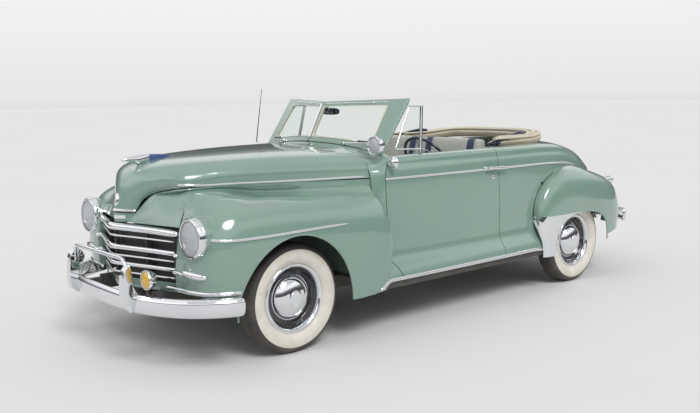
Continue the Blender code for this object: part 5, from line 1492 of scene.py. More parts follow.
def at_heights(rows: Array, heights: Array) -> tuple[Array, Array, Array]:
    """Where each row of a grid that rises along it reaches its height.

    Args:
        rows: Grid of points.
        heights: A height for each row.

    Returns:
        The points, the column below each of them, and its share of the way to the next column.
    """
    low = np.clip((rows[..., 2] < heights[:, None]).sum(axis=1) - 1, 0, rows.shape[1] - 2)
    pick = np.arange(len(rows))
    a, b = rows[pick, low], rows[pick, low + 1]
    share = np.clip((heights - a[:, 2]) / np.maximum(b[:, 2] - a[:, 2], 1e-6), 0, 1)[:, None]
    return a + (b - a) * share, low, share


def fender_line(us: Array, heights: Array) -> tuple[Array, Array]:
    """Points of the front fender's face at rib numbers and heights, with their normals.

    Args:
        us: Rib numbers.
        heights: A height for each of them.

    Returns:
        Points and outward unit normals, read from a dense grid by height.
    """
    dense = surface(front_fender_ribs(), us, np.linspace(0, 5, 201))
    normals = grid_normals(dense, core_line(dense, (-1.90, -1.0), 0.45, 0.60))
    points, low, share = at_heights(dense, heights)
    rows = np.arange(len(us))
    normal = normals[rows, low] * (1 - share) + normals[rows, low + 1] * share
    return points, normal / np.maximum(np.linalg.norm(normal, axis=1, keepdims=True), 1e-9)


def bead(path: Array, normals: Array, half: float, height: float, start: float = 0.05, end: float = 0.05,
         sink: float = 0.004) -> Form:
    """A half-round strip along a surface, its ends tapered over shares of its length.

    Args:
        path: Points on the surface.
        normals: Outward normals there.
        half: Half width of the strip.
        height: How far it stands off the surface.
        start: Share of the length over which the first end tapers.
        end: The same for the last end.
        sink: How far its foot goes in.

    Returns:
        The closed strip.
    """
    turn = np.linspace(0, math.pi, 13)
    arc = np.stack([half * np.cos(turn), height * np.sin(turn)], axis=1)
    profile = np.concatenate([arc, [(-half, -sink), (half, -sink)]])
    run = np.linspace(0, 1, len(path))
    ramp = np.clip(np.minimum(run / max(start, 1e-6), (1 - run) / max(end, 1e-6)), 0.0, 1)
    return swept(path, profile, normals, 0.15 + 0.85 * np.sqrt(ramp))


def smoothstep(x: Array, low: float, high: float) -> Array:
    """0 below low, 1 above high, and 3t^2 - 2t^3 between."""
    t = np.clip((x - low) / (high - low), 0, 1)
    return t * t * (3 - 2 * t)


@dataclass
class FrontEnd(Assembly):
    """Grille, lamps, bumper and ornaments of the nose."""

    # top, height, swell, half length, how far its ends drop, whether it runs onto the fenders
    bars: tuple = (
        (0.8416, 0.046, 0.026, 0.512, 0.016, False),
        (0.7700, 0.014, 0.010, 0.475, 0.008, False),
        (0.7120, 0.036, 0.024, 0.548, 0.012, True),
        (0.6480, 0.014, 0.010, 0.475, 0.006, False),
        (0.6040, 0.028, 0.018, 0.620, 0.008, True),
        (0.5440, 0.014, 0.010, 0.478, 0.004, False),
    )
    post_xs: tuple = (-0.485, -0.25, 0.0, 0.25, 0.485)
    guard_x: float = 0.377
    guard: tuple = ((0.03, 0.372), (0.004, 0.4), (0.0, 0.52), (0.012, 0.6), (0.035, 0.628), (0.06, 0.61),
                    (0.062, 0.38))
    blade: tuple = ((0.0, -2.44), (0.25, -2.435), (0.45, -2.405), (0.62, -2.335), (0.75, -2.245), (0.84, -2.13),
                    (0.885, -2.04), (0.895, -1.985))
    blade_z: float = 0.404
    # y, top z, height and half width of the ornament's stations
    ornament: tuple = ((-2.276, 1.222, 0.006, 0.002), (-2.262, 1.231, 0.016, 0.011),
                       (-2.225, 1.242, 0.03, 0.018), (-2.17, 1.249, 0.06, 0.021), (-2.12, 1.252, 0.08, 0.017),
                       (-2.085, 1.25, 0.08, 0.008))
    ornament_fin: tuple = ((-2.11, 1.25, 0.08, 0.007), (-2.04, 1.251, 0.08, 0.006), (-1.97, 1.245, 0.08, 0.004),
                           (-1.912, 1.232, 0.08, 0.002))
    hoop_x: float = 0.360
    hoop_z: float = 0.668
    fog: tuple = (0.501, -2.392, 0.558)
    spear: tuple = ((4.05, 0.797), (5.0, 0.790), (6.0, 0.789), (7.0, 0.792), (8.0, 0.798), (8.95, 0.799))

    def build(self) -> None:
        """Makes the nose and all that is on it."""
        self.add_grille()
        self.add_nose()
        self.add_bumper()
        self.add_ornaments()
        for side in Side:
            self.add_headlamp(side)
            self.add_parking_lamp(side)
            self.add_fog_lamp(side)
            self.add_strips(side)

    def cross_bar(self, top: float, height: float, swell: float, half: float, drop: float,
                  runs_on: bool) -> Form:
        """One cross bar: x = half sin(t), z falls by drop |x/half|^2.2, and its size is sqrt(1 - |x/half|^26).

        Args:
            top: Height of its upper edge in the middle.
            height: How tall it is.
            swell: How far its face bulges forward.
            half: Half its length.
            drop: How far its ends fall.
            runs_on: It runs out onto the fenders.

        Returns:
            The bar.
        """
        x = half * np.sin(np.linspace(-math.pi / 2, math.pi / 2, 121))
        z = top - height / 2 - drop * (np.abs(x) / half) ** 2.2
        y = nose_curve(np.abs(x)) - 0.002
        if runs_on:
            us = np.linspace(1.0, 4.6, 90)
            face, _ = fender_line(us, np.full(len(us), top - height / 2 - drop))
            on_fender = np.interp(np.abs(x), face[:, 0], face[:, 1]) - 0.004
            share = smoothstep(np.abs(x), 0.495, 0.530)
            y = y * (1 - share) + on_fender * share
        size = np.clip(np.sqrt(1 - (np.abs(x) / (half + 0.001)) ** 26), 0.1, 1)
        turn = full_turn(20)
        depth = np.where(np.cos(turn) > 0, swell, 0.008)
        profile = np.stack([depth * np.cos(turn), height / 2 * bowed(np.sin(turn), 0.8)], axis=1)
        return swept(xyz(x, y, z), profile, sizes=size)

    def add_grille(self) -> None:
        """Cross bars in a shallow V, two of them running out onto the fenders, and posts behind them."""
        bars = Form.joined([self.cross_bar(*row) for row in self.bars])
        self.piece("grille_bars", bars, CHROME, instead=("grille",), smooth=50)
        posts = []
        for x in self.post_xs:
            y = float(nose_curve(abs(x))) + 0.026
            posts.append(bar((x - 0.012, y - 0.014, 0.500), (x + 0.012, y + 0.014, 0.826)))
        self.piece("grille_posts", Form.joined(posts), BLACK, bevel=0.002)
        # A flat black sheet behind the bars, in front of the radiator: painted shade that keeps the gaps
        # between the bars dark.
        xs = np.linspace(-0.500, 0.500, 41)
        shade_backing = xyz(xs, nose_curve(np.abs(xs)) + 0.055, np.array((0.470, 0.650, 0.835))[:, None])
        self.piece("grille_backing", sheet_form(shade_backing, shade_backing + (0, 0.003, 0)), BLACK)
        z = np.linspace(0.470, 0.838, 12)
        face, _ = fender_line(np.full(12, 2.28), z)
        x, back = np.array(((0.519, 0.004), (0.489, 0.079))).T[..., None]
        jamb = xyz(x, face[:, 1] + back, z)
        for side in Side:
            self.piece("grille_jamb", sheet_form(jamb, jamb + (0.004, 0.002, 0)), ENAMEL, side=side)

    def add_nose(self) -> None:
        """The panel over the grille with its bare plate, and the apron below the grille."""
        xs = np.linspace(-0.0974, 0.0974, 41)
        rows = knotted(((0.842, -2.335, 0.9), (0.872, -2.336, 1.08), (0.9, -2.337, 1.22)),
                       np.linspace(0, 2, 13))
        z, y, sweep = rows.T[..., None]
        cap = xyz(xs, y + sweep * swept_back(xs), z)
        self.piece("nose_cap", sheet_form(cap, cap + (0, 0.012, 0)), ENAMEL, instead=("nose_panel",),
                   bevel=0.0015)
        xs = np.linspace(-0.062, 0.062, 33)
        plate = xyz(xs, -2.3385 + 1.10 * swept_back(xs), np.linspace(0.862, 0.884, 5)[:, None])
        self.piece("nose_plate", sheet_form(plate, plate + (0, 0.006, 0)), CHROME, bevel=0.001)
        xs = np.linspace(-GRILLE_HALF, GRILLE_HALF, 81)
        z, back = np.array(((0.4404, 0.022), (0.470, 0.012), (0.5006, 0.010))).T[..., None]
        apron = knotted(xyz(xs, nose_curve(np.abs(xs)) + back, z), np.linspace(0, 2, 9))
        self.piece("apron_panel", sheet_form(apron, apron + (0, 0.01, 0)), ENAMEL, instead=("front_apron",),
                   bevel=0.0015)

    def add_bumper(self) -> None:
        """The curved blade, its two guards, the hoop between them and the irons."""
        path = np.insert(mirrored_line(self.blade, 141), 2, self.blade_z, axis=1)
        self.piece("front_bumper_blade", blade_form(path, 1.0), CHROME, instead=("front_bumper",), smooth=50)
        bend = circle(0.06, 32)[:9] + (self.hoop_x - 0.06, self.hoop_z - 0.06)
        half = np.array([(self.hoop_x, 0.560), (self.hoop_x, 0.585), *bend, (0.15, self.hoop_z)])
        hoop = np.concatenate([half, half[::-1] * (-1, 1)])
        self.piece("bumper_hoop", tube(np.insert(hoop, 1, FRONT_END + 0.045, axis=1), 0.0125, 20), CHROME,
                   smooth=50)
        outline = softened([(FRONT_END + y, z) for y, z in self.guard], 4)
        guard = slab(outline, self.guard_x - 0.026, self.guard_x + 0.026, 0)
        for side in Side:
            self.piece("front_guard", guard, CHROME, side=side, bevel=0.009)
            self.piece("front_bumper_iron", bar((0.338, -2.42, 0.384), (0.382, -2.281, 0.424)), BLACK,
                       side=side, bevel=0.003)

    def add_headlamp(self, side: Side) -> None:
        """One headlamp: stepped rim, bowl, bulb and fluted lens.

        Args:
            side: The side it is made for.
        """
        pod = ((-0.130, 0.098), (-0.070, 0.1135), (-0.020, 0.1195), (-0.012, 0.1195), (-0.012, 0.112),
               (-0.070, 0.104), (-0.125, 0.088))
        self.piece("headlamp_pod", lathe(pod, 96, ring=True).aimed(FORWARD, HEADLAMP), ENAMEL, side=side,
                   smooth=30)
        rim = ((-0.020, 0.1130), (-0.016, 0.1190), (-0.013, 0.1215), (-0.008, 0.1228), (0.010, 0.1230),
               (0.022, 0.1215), (0.031, 0.1165), (0.0335, 0.1110), (0.0320, 0.1045), (0.026, 0.1030),
               (0.0, 0.1035), (-0.018, 0.106))
        bowl = ((0.024, 0.1032), (0.010, 0.0980), (-0.015, 0.0840), (-0.035, 0.0620), (-0.048, 0.0330),
                (-0.052, 0.0), (-0.056, 0.0), (-0.052, 0.036), (-0.038, 0.066), (-0.018, 0.088), (0.008, 0.102),
                (0.022, 0.1040))
        lens = ((0.024, 0.1030), (0.034, 0.085), (0.042, 0.055), (0.0465, 0.025), (0.048, 0.0), (0.044, 0.0),
                (0.0425, 0.025), (0.038, 0.055), (0.030, 0.085), (0.021, 0.1010))
        self.piece("headlamp_rim", lathe(rim, 96, ring=True).aimed(FORWARD, HEADLAMP), CHROME, side=side,
                   instead=(f"headlamp_{side.word}",), smooth=30)
        self.piece("headlamp_bowl", lathe(bowl, 72).aimed(FORWARD, HEADLAMP), DULL_CHROME, side=side, smooth=60)
        self.piece("headlamp_lens", lathe(lens, 72).aimed(FORWARD, HEADLAMP), LENS, side=side, smooth=60)
        bulb = pillow((-0.045, -0.016, -0.016), (-0.008, 0.016, 0.016), 2.0, 20)
        self.piece("headlamp_bulb", bulb.aimed(FORWARD, HEADLAMP), FROST_LENS, side=side)
        band = ((-0.004, 0.1228), (0.000, 0.1246), (0.004, 0.1228), (0.0, 0.120))
        self.piece("headlamp_band", lathe(band, 96, ring=True).aimed(FORWARD, HEADLAMP), CHROME, side=side)

    def add_parking_lamp(self, side: Side) -> None:
        """The long lamp where the lower bar ends on the fender.

        Args:
            side: The side it is made for.
        """
        us = np.linspace(2.72, 4.02, 41)
        run = np.linspace(-1, 1, 41)
        path, normals = fender_line(us, 0.592 - 0.006 * (run + 1))
        size = np.maximum(1 - np.abs(run) ** 3.2, 0.02) ** 0.5
        housing = swept(path + normals * 0.006, oval(0.021, 0.020, 24, 2.4), normals, size)
        self.piece("parking_lamp", housing, CHROME, side=side, smooth=60)
        path, normals = path[5:26] + normals[5:26] * 0.013, normals[5:26]
        size = np.maximum(1 - np.abs(np.linspace(-1, 1, 21)) ** 4, 0.05) ** 0.5
        lens = swept(path, oval(0.013, 0.0165, 24, 2.2), normals, size)
        self.piece("parking_lens", lens, FROST_LENS, side=side, smooth=60)

    def add_fog_lamp(self, side: Side) -> None:
        """One amber lamp on a stalk behind the bumper.

        Args:
            side: The side it is made for.
        """
        shell = ((-0.055, 0.0), (-0.052, 0.022), (-0.04, 0.04), (-0.02, 0.053), (0.0, 0.0595), (0.01, 0.06),
                 (0.015, 0.057), (0.014, 0.052), (0.006, 0.051), (-0.03, 0.03), (-0.04, 0.0))
        lens = ((0.012, 0.0520), (0.021, 0.040), (0.027, 0.020), (0.0285, 0.0), (0.022, 0.0), (0.006, 0.050))
        self.piece("fog_lamp", lathe(shell, 64).aimed(FORWARD, self.fog), CHROME, side=side)
        self.piece("fog_lens", lathe(lens, 64).aimed(FORWARD, self.fog), AMBER, side=side, smooth=60)
        x, y, _ = self.fog
        stalk = tube(((x, y, 0.440), (x, y, 0.470), (x, y, 0.515)), 0.010, 16)
        self.piece("fog_stalk", stalk, BLACK, side=side)

    def add_strips(self, side: Side) -> None:
        """The fender's spear and the strip along its lower front edge.

        Args:
            side: The side it is made for.
        """
        at = np.linspace(0, len(self.spear) - 1, 90)
        us, heights = knotted(self.spear, at).T
        path, normals = fender_line(us, heights)
        spear = bead(path, normals, 0.0095, 0.010, 0.02, 0.10)
        self.piece("fender_spear", spear, CHROME, side=side)
        us = np.linspace(1.72, 5.62, 80)
        path, normals = fender_line(us, np.full(80, 0.479))
        strip = bead(path, normals, 0.013, 0.012, 0.04, 0.04)
        self.piece("fender_foot_strip", strip, CHROME, side=side)

    def add_ornaments(self) -> None:
        """The hood's streamlined ornament, its lip strip and the bare badge below."""
        ribs = knotted(HOOD_RIBS, np.linspace(0, 8, 400))
        turn = full_turn(24)
        for name, stations, finish in (("hood_ornament", self.ornament, CHROME),
                                       ("hood_ornament_fin", self.ornament_fin, BLUE_PLASTIC)):
            y, top, tall, width = knotted(stations, np.linspace(0, len(stations) - 1, 48)).T[..., None]
            low = np.maximum(np.interp(y, ribs[:, 0], ribs[:, 1]) - 0.004, top - tall)
            low = np.minimum(low, top - 0.003)
            rows = xyz(width * np.cos(turn), y, 0.5 * (top + low) + 0.5 * (top - low) * np.sin(turn))
            self.piece(name, grid_form(rows, round_v=True, caps=True), finish, "hood", smooth=60)
        edge = hood_grid(np.array((0.02,)), np.linspace(0.0, math.pi, 61))[0]
        outward = edge - np.array((0.0, -2.20, 0.93))
        outward /= np.linalg.norm(outward, axis=1, keepdims=True)
        self.piece("hood_lip_strip", bead(edge + (0, 0, -0.001), outward, 0.009, 0.008, 0.04, 0.04), CHROME,
                   "hood")
        lat = np.linspace(0, 1, 15)[:, None]
        around = full_turn(40)
        shield = 1 - 0.22 * np.maximum(np.sin(around), 0) ** 2 - 0.12 * np.cos(2 * around)
        badge_x, badge_z = 0.030 * lat * shield * np.cos(around), 0.982 + 0.040 * lat * np.sin(around)
        seat = np.interp(badge_z, ribs[:, 1], ribs[:, 0]) + 0.55 * np.abs(badge_x) ** 1.2
        badge = xyz(badge_x, seat - 0.010 * (1 - lat ** 4) - 0.001, badge_z)
        self.piece("nose_badge", sheet_form(badge, badge + (0, 0.008, 0)), CHROME, "hood", smooth=60)


def blade_form(path: Array, face: float) -> Form:
    """A bumper blade: a bowed shell carried along a path, its ends rounded off.

    Its face bows forward by cos(t)^0.8 with a crease under its upper edge, and its size falls as
    sqrt(1 - |s|^60) towards the ends.

    Args:
        path: The blade's middle line.
        face: 1 for a blade that faces forward, -1 for one that faces back.

    Returns:
        The closed blade.
    """
    turn = np.linspace(-math.pi / 2, math.pi / 2, 25)
    front = np.stack([0.030 * np.cos(turn) ** 0.8, 0.057 * np.sin(turn)], axis=1)
    front[:, 0] += 0.0025 * np.exp(-((front[:, 1] - 0.034) / 0.006) ** 2)
    back = np.stack([0.018 * np.cos(turn) ** 0.8 - 0.004, 0.054 * np.sin(turn)], axis=1)[::-1]
    profile = np.concatenate([front, back]) * (face, 1)
    run = np.linspace(-1, 1, len(path))
    size = np.maximum(1 - np.abs(run) ** 60, 0.0) ** 0.5 * 0.999 + 0.001
    size[0] = size[-1] = 0.25
    return swept(path, profile, sizes=size)


# Brightwork and fittings


def body_line(ys: Array, level: float) -> tuple[Array, Array]:
    """Points along the body side at one level, with outward normals.

    Args:
        ys: Places along the car.
        level: The level number.

    Returns:
        The points and their normals.
    """
    rows = body_grid(ys, np.array((level - 0.15, level, level + 0.15)))
    normals = grid_normals(rows, body_core(rows))
    return rows[:, 1], normals[:, 1]


@dataclass
class Brightwork(Assembly):
    """Mouldings, handles, shields, welts and sill strips on the body's sides."""

    level: float = 4.0
    quarter_end: float = 1.585
    hood_line: float = 1.080
    hood_start: float = -2.105
    shield_top: float = 0.615

    def build(self) -> None:
        """Makes both sides."""
        for side in Side:
            self.add_mouldings(side)
            self.add_sides(side)
            self.add_handle(side)

    def add_mouldings(self, side: Side) -> None:
        """The line of bright mouldings from the hood's nose to the rear fender.

        Args:
            side: The side it is made for.
        """
        half, height = 0.0095, 0.0095
        path, normals = body_line(np.linspace(DOOR_FRONT + 0.004, DOOR_REAR - 0.006, 80), self.level)
        door = bead(path, normals, half, height, 0.012, 0.012)
        self.piece("door_moulding", door, CHROME, f"door_{side.word}", side)
        path, normals = body_line(np.linspace(DOOR_REAR + 0.006, self.quarter_end, 60), self.level)
        self.piece("quarter_moulding", bead(path, normals, half, height, 0.015, 0.06), CHROME, side=side)
        rows = hood_grid(np.linspace(0.6, 7.93, 150), np.linspace(0.0, 0.8, 120))
        path, low, _ = at_heights(rows, self.hood_line - 0.013 * smoothstep(rows[:, 0, 1], -2.10, -1.85))
        normals = grid_normals(rows, rows * (0, 1, 0) + (0, 0, 0.9))[np.arange(150), low]
        on = path[:, 1] > self.hood_start
        self.piece("hood_moulding", bead(path[on], normals[on], half, height, 0.05, 0.01), CHROME, "hood", side)

    def add_sides(self, side: Side) -> None:
        """The strip along the sill and the stone shield on the rear fender.

        Args:
            side: The side it is made for.
        """
        ys = np.linspace(-0.915, 0.930, 100)
        z = 0.318 + 0.044 * smoothstep(ys, -0.915, -0.790) - 0.010 * smoothstep(ys, 0.80, 0.93)
        x = side_x(np.maximum(ys, -0.74), np.full(100, SILL_Z + 0.01))
        path = xyz(x + 0.022 * (1 - smoothstep(ys, -0.90, -0.74)), ys, z)
        normals = np.tile((1.0, 0.0, -0.15), (100, 1))
        self.piece("sill_strip", bead(path, normals, 0.014, 0.01, 0.02, 0.02, 0.014), CHROME, side=side)
        us, zs = np.linspace(0, 3.5, 90), np.linspace(0.285, self.shield_top, 36)
        dense = surface(np.array(REAR_FENDER_RIBS), us, np.linspace(0, 5, 201))
        skin = np.stack([np.stack([np.interp(zs, row[:, 2], row[:, k]) for k in (0, 1)],
                                  axis=1) for row in dense])
        axle, reach, foot, top, fullness = REAR_ARCH
        rise = np.clip((zs - foot) / (top - foot), 0, 1)
        arch = axle - reach * (1 - rise ** fullness) ** (1 / fullness) - 0.004
        rows = []
        for k, height in enumerate(zs):
            y = np.linspace(skin[0, k, 1] + 0.002, arch[k], 30)
            rows.append(xyz(np.interp(y, skin[:, k, 1], skin[:, k, 0]), y, height))
        shield = outside_body(np.stack(rows), FENDER_CLEARANCE)
        normals = grid_normals(shield, shield * (0, 1, 1))
        self.piece("stone_shield", sheet_form(shield + normals * 0.0022, shield + normals * 0.0002), CHROME,
                   side=side, smooth=50)
        edge = outside_body(dense[0][dense[0, :, 2] > self.shield_top], 0.0015)
        self.piece("fender_welt", tube(edge[::4], 0.0038, 8), SEAL, side=side, smooth=60)

    def add_handle(self, side: Side) -> None:
        """The door's pull handle on its one stem, and the lock below it.

        Args:
            side: The side it is made for.
        """
        turn = np.linspace(0, 1, 41)
        y = 0.262 + 0.262 * turn
        z = 1.050 - 0.010 * turn
        stand = 0.012 + 0.034 * np.sin(np.clip(turn * 1.6, 0, 1) * math.pi / 2) ** 0.8
        path = xyz(side_x(y, z) + stand, y, z)
        size = 0.55 + 0.45 * np.sin(np.clip(turn, 0.02, 0.98) * math.pi) ** 0.5
        body = f"door_{side.word}"
        grip = swept(path, oval(0.0085, 0.0125, 20, 2.3), (0.0, 0.0, 1.0), size)
        self.piece("door_handle_grip", grip, CHROME, body, side, smooth=60)
        foot = float(side_x(0.292, 1.048))
        stem = tube(np.array(((foot - 0.006, 0.292, 1.048), (foot + 0.02, 0.292, 1.048),
                              (foot + 0.045, 0.292, 1.048))), np.array((0.015, 0.0105, 0.01)), 20)
        self.piece("door_handle_stem", stem, CHROME, body, side, bevel=0.001)
        foot = float(side_x(0.378, 0.972))
        lock = ((-0.006, 0.0), (-0.006, 0.015), (0.003, 0.015), (0.0055, 0.011), (0.0055, 0.0))
        self.piece("door_lock", lathe(lock, 32).moved((foot, 0.378, 0.972)), CHROME, body, side)


@dataclass
class Screen(Assembly):
    """The V windshield: frame, gaskets, centre bar, glass, wipers and the mirror inside."""

    top_half: float = 0.686
    top_y: float = -0.632
    top_z: float = 1.562
    sweep: float = 0.216
    depth: float = 0.026
    foot_level: float = 6.12

    def build(self) -> None:
        """Makes the screen, the vent windows and the wipers."""
        for side in Side:
            self.add_half(side)
            self.add_vent(side)
            self.add_wiper(side)
        middle = self.at(0.0, np.linspace(0.10, 0.93, 12)) + (0, -0.002, 0)
        self.piece("screen_centre_bar", swept(middle, oval(0.012, 0.010, 20, 3), (0.0, 1.0, 0.0)), CHROME)
        self.add_mirror()

    def at(self, s: Array | float, h: Array | float) -> Array:
        """Points of the screen's face: s goes from the middle to the post and h from foot to header.

        Args:
            s: Shares across, negative on the right.
            h: Shares of the height.

        Returns:
            A point for each pair.
        """
        s, h = np.broadcast_arrays(np.asarray(s, float), np.asarray(h, float))
        share = np.abs(s)
        table = np.linspace(0, 1, 61)
        ends = np.repeat(np.array([[DOOR_FRONT - 0.034], [DOOR_FRONT - 0.006]]), 61, axis=1)
        rows = body_grid(ends, V_CENTRE - (V_CENTRE - self.foot_level) * table)
        feet = xyz(rows[0, :, 0], rows[0, :, 1], rows[..., 2].max(axis=0) - 0.0004)
        x, y, z = (np.interp(share, table, feet[:, k]) for k in range(3))
        foot = xyz(x * np.where(s < 0, -1, 1), y, z)
        top = xyz(self.top_half * s, self.top_y + self.sweep * share, self.top_z + 0.019 * share)
        return foot + (top - foot) * h[..., None]

    def ring(self, inner: tuple[float, float, float, float], outer: tuple[float, float, float, float],
             corner: float, rows: int, side: Side) -> Array:
        """A grid of points between two rounded rectangles given as (s0, s1, h0, h1).

        Args:
            inner: The opening.
            outer: The outline round it.
            corner: Radius of the opening's corners as a share of its height.
            rows: Rings of points.
            side: Which half of the screen.

        Returns:
            Points of the face, rings by places round them.
        """
        turn = full_turn(144)
        loops = []
        for (s0, s1, h0, h1), power in ((inner, 2 / corner), (outer, 40.0)):
            c, v = np.cos(turn), np.sin(turn)
            size = (np.abs(c) ** power + np.abs(v) ** power) ** (-1 / power)
            loops.append(np.stack([(s0 + s1) / 2 + (s1 - s0) / 2 * c * size,
                                   (h0 + h1) / 2 + (h1 - h0) / 2 * v * size], axis=1))
        share = np.linspace(0, 1, rows)[:, None, None]
        grid = loops[0] + (loops[1] - loops[0]) * share
        return self.at(grid[..., 0] * side.value, grid[..., 1])

    def band(self, grid: Array, front: float, back: float) -> Form:
        """A closed ring-shaped band between two depths behind the screen's face.

        Args:
            grid: The face's points, rings by places round them.
            front: Depth of its face.
            back: Depth of its back.

        Returns:
            The closed band.
        """
        loops = [grid[i] + (0, front, 0) for i in range(len(grid))]
        loops += [grid[i] + (0, back, 0) for i in reversed(range(len(grid)))]
        return grid_form(np.stack(loops), round_u=True, round_v=True)

    def add_half(self, side: Side) -> None:
        """Frame, pale gasket, bright bead and glass of one half.

        Args:
            side: The side it is made for.
        """
        hole = (0.022, 0.798, 0.115, 0.885)
        instead = ("windshield_frame",) if side is Side.LEFT else ()
        frame = self.band(self.ring(hole, (0.0, 1.0, 0.0, 1.0), 0.16, 5, side), 0.0, self.depth)
        self.piece(f"screen_frame_{side.word}", frame, ENAMEL, instead=instead, bevel=0.003)
        inner = (0.034, 0.786, 0.128, 0.872)
        gasket = self.band(self.ring(inner, hole, 0.16, 3, side), -0.0025, 0.022)
        self.piece(f"screen_gasket_{side.word}", gasket, IVORY, slot="trim", bevel=0.001)
        run = np.linspace(0.0, 1.0, 41)
        across = self.at((0.03 + 0.775 * run) * side.value, 0.945)
        header = bead(across + (0, -0.0005, 0), np.tile((0.0, -1.0, 0.3), (41, 1)), 0.004, 0.004)
        self.piece(f"header_bead_{side.word}", header, CHROME)
        s = np.linspace(0.030, 0.790, 13)[None]
        pane = self.at(s * side.value, np.linspace(0.122, 0.878, 9)[:, None])
        self.piece(f"screen_glass_{side.word}", sheet_form(pane + (0, 0.01, 0), pane + (0, 0.016, 0)), GLASS,
                   instead=(f"windshield_glass_{side.word}",))
        studs = []
        for share in (0.30, 0.62):
            place = self.at(share * side.value, 0.93)
            studs.append(pillow(place + (-0.008, -0.010, -0.006), place + (0.008, 0.004, 0.010), 2.6, 14))
        self.piece(f"header_studs_{side.word}", Form.joined(studs), CHROME, smooth=60)

    def add_vent(self, side: Side) -> None:
        """The small pane on the door with its bright post and edge.

        Args:
            side: The side it is made for.
        """
        lean, belt, foot_x = 0.040, 1.215, 0.712

        def place(y: float, z: float) -> tuple[float, float, float]:
            """A point of the pane's plane, which leans in towards its top."""
            return foot_x - lean * (z - belt) / (1.525 - belt), y, z

        corners = [place(-0.575, 1.232), place(-0.330, 1.222), place(-0.275, 1.525), place(-0.400, 1.528)]
        post = np.array([place(-0.330 + 0.055 * t, 1.190 + 0.338 * t) for t in np.linspace(0, 1, 9)])
        body = f"door_{side.word}"
        self.piece("vent_post", swept(post, oval(0.009, 0.011, 20, 4), (1.0, 0.0, 0.0)), CHROME, body, side,
                   bevel=0.001)
        loop = np.array([corners[k] for k in (1, 0, 3, 2)])
        edge = np.concatenate([np.linspace(loop[0], loop[1], 12)[:-1], np.linspace(loop[1], loop[2], 20)[:-1],
                               np.linspace(loop[2], loop[3], 8)])
        self.piece("vent_edge", tube(edge, 0.006, 12), CHROME, body, side, smooth=60)
        across = np.linspace(0, 1, 7)[None, :, None]
        up = np.linspace(0, 1, 9)[:, None, None]
        c = np.array(corners)
        pane = (c[0] * (1 - across) + c[1] * across) * (1 - up) + (c[3] * (1 - across) + c[2] * across) * up
        self.piece("vent_glass", sheet_form(pane, pane - (0.005, 0, 0)), GLASS, body, side,
                   instead=(f"vent_window_{side.word}",))

    def add_wiper(self, side: Side) -> None:
        """Pivot, arm and blade of one wiper, parked along the glass's foot.

        Args:
            side: The side it is made for.
        """
        pivot, tip = self.at(0.46 * side.value, 0.035), self.at(0.80 * side.value, 0.150)
        knob = ((-0.012, 0.0), (-0.012, 0.012), (0.004, 0.012), (0.010, 0.008), (0.011, 0.0))
        self.piece(f"wiper_pivot_{side.word}", lathe(knob, 24).aimed(FORWARD, pivot + (0, -0.014, 0)),
                   CHROME)
        t = np.linspace(0, 1, 17)[:, None]
        arm = pivot + (tip - pivot) * t + np.array((0, -0.020, 0.004)) * np.sin(t * math.pi) + (0, -0.020, 0)
        bar_form = swept(arm, oval(0.0045, 0.0022, 12), (0.0, 1.0, 0.0), np.linspace(1.3, 0.8, 17))
        self.piece(f"wiper_arm_{side.word}", bar_form, CHROME)
        s = np.linspace(0.62, 0.785, 13)
        blade = self.at(s * side.value, np.linspace(0.137, 0.163, 13)) + (0, -0.008, 0)
        self.piece(f"wiper_blade_{side.word}", tube(blade, 0.005, 10), SEAL)

    def add_mirror(self) -> None:
        """The mirror inside the screen on its stem from the centre bar's top."""
        top = self.at(0.0, 0.90) + (0, 0.026, 0)
        shell = pillow((-0.105, -0.014, -0.026), (0.105, 0.014, 0.026), 3.2, 30).moved(top + (0, 0.055, -0.045))
        self.piece("inside_mirror", shell, DARK_PLASTIC, slot="trim", smooth=60)
        stem = np.array([top + (0, -0.004, 0), top + (0, 0.03, -0.012), top + (0, 0.05, -0.040)])
        self.piece("inside_mirror_stem", tube(stem, 0.006, 12), CHROME)


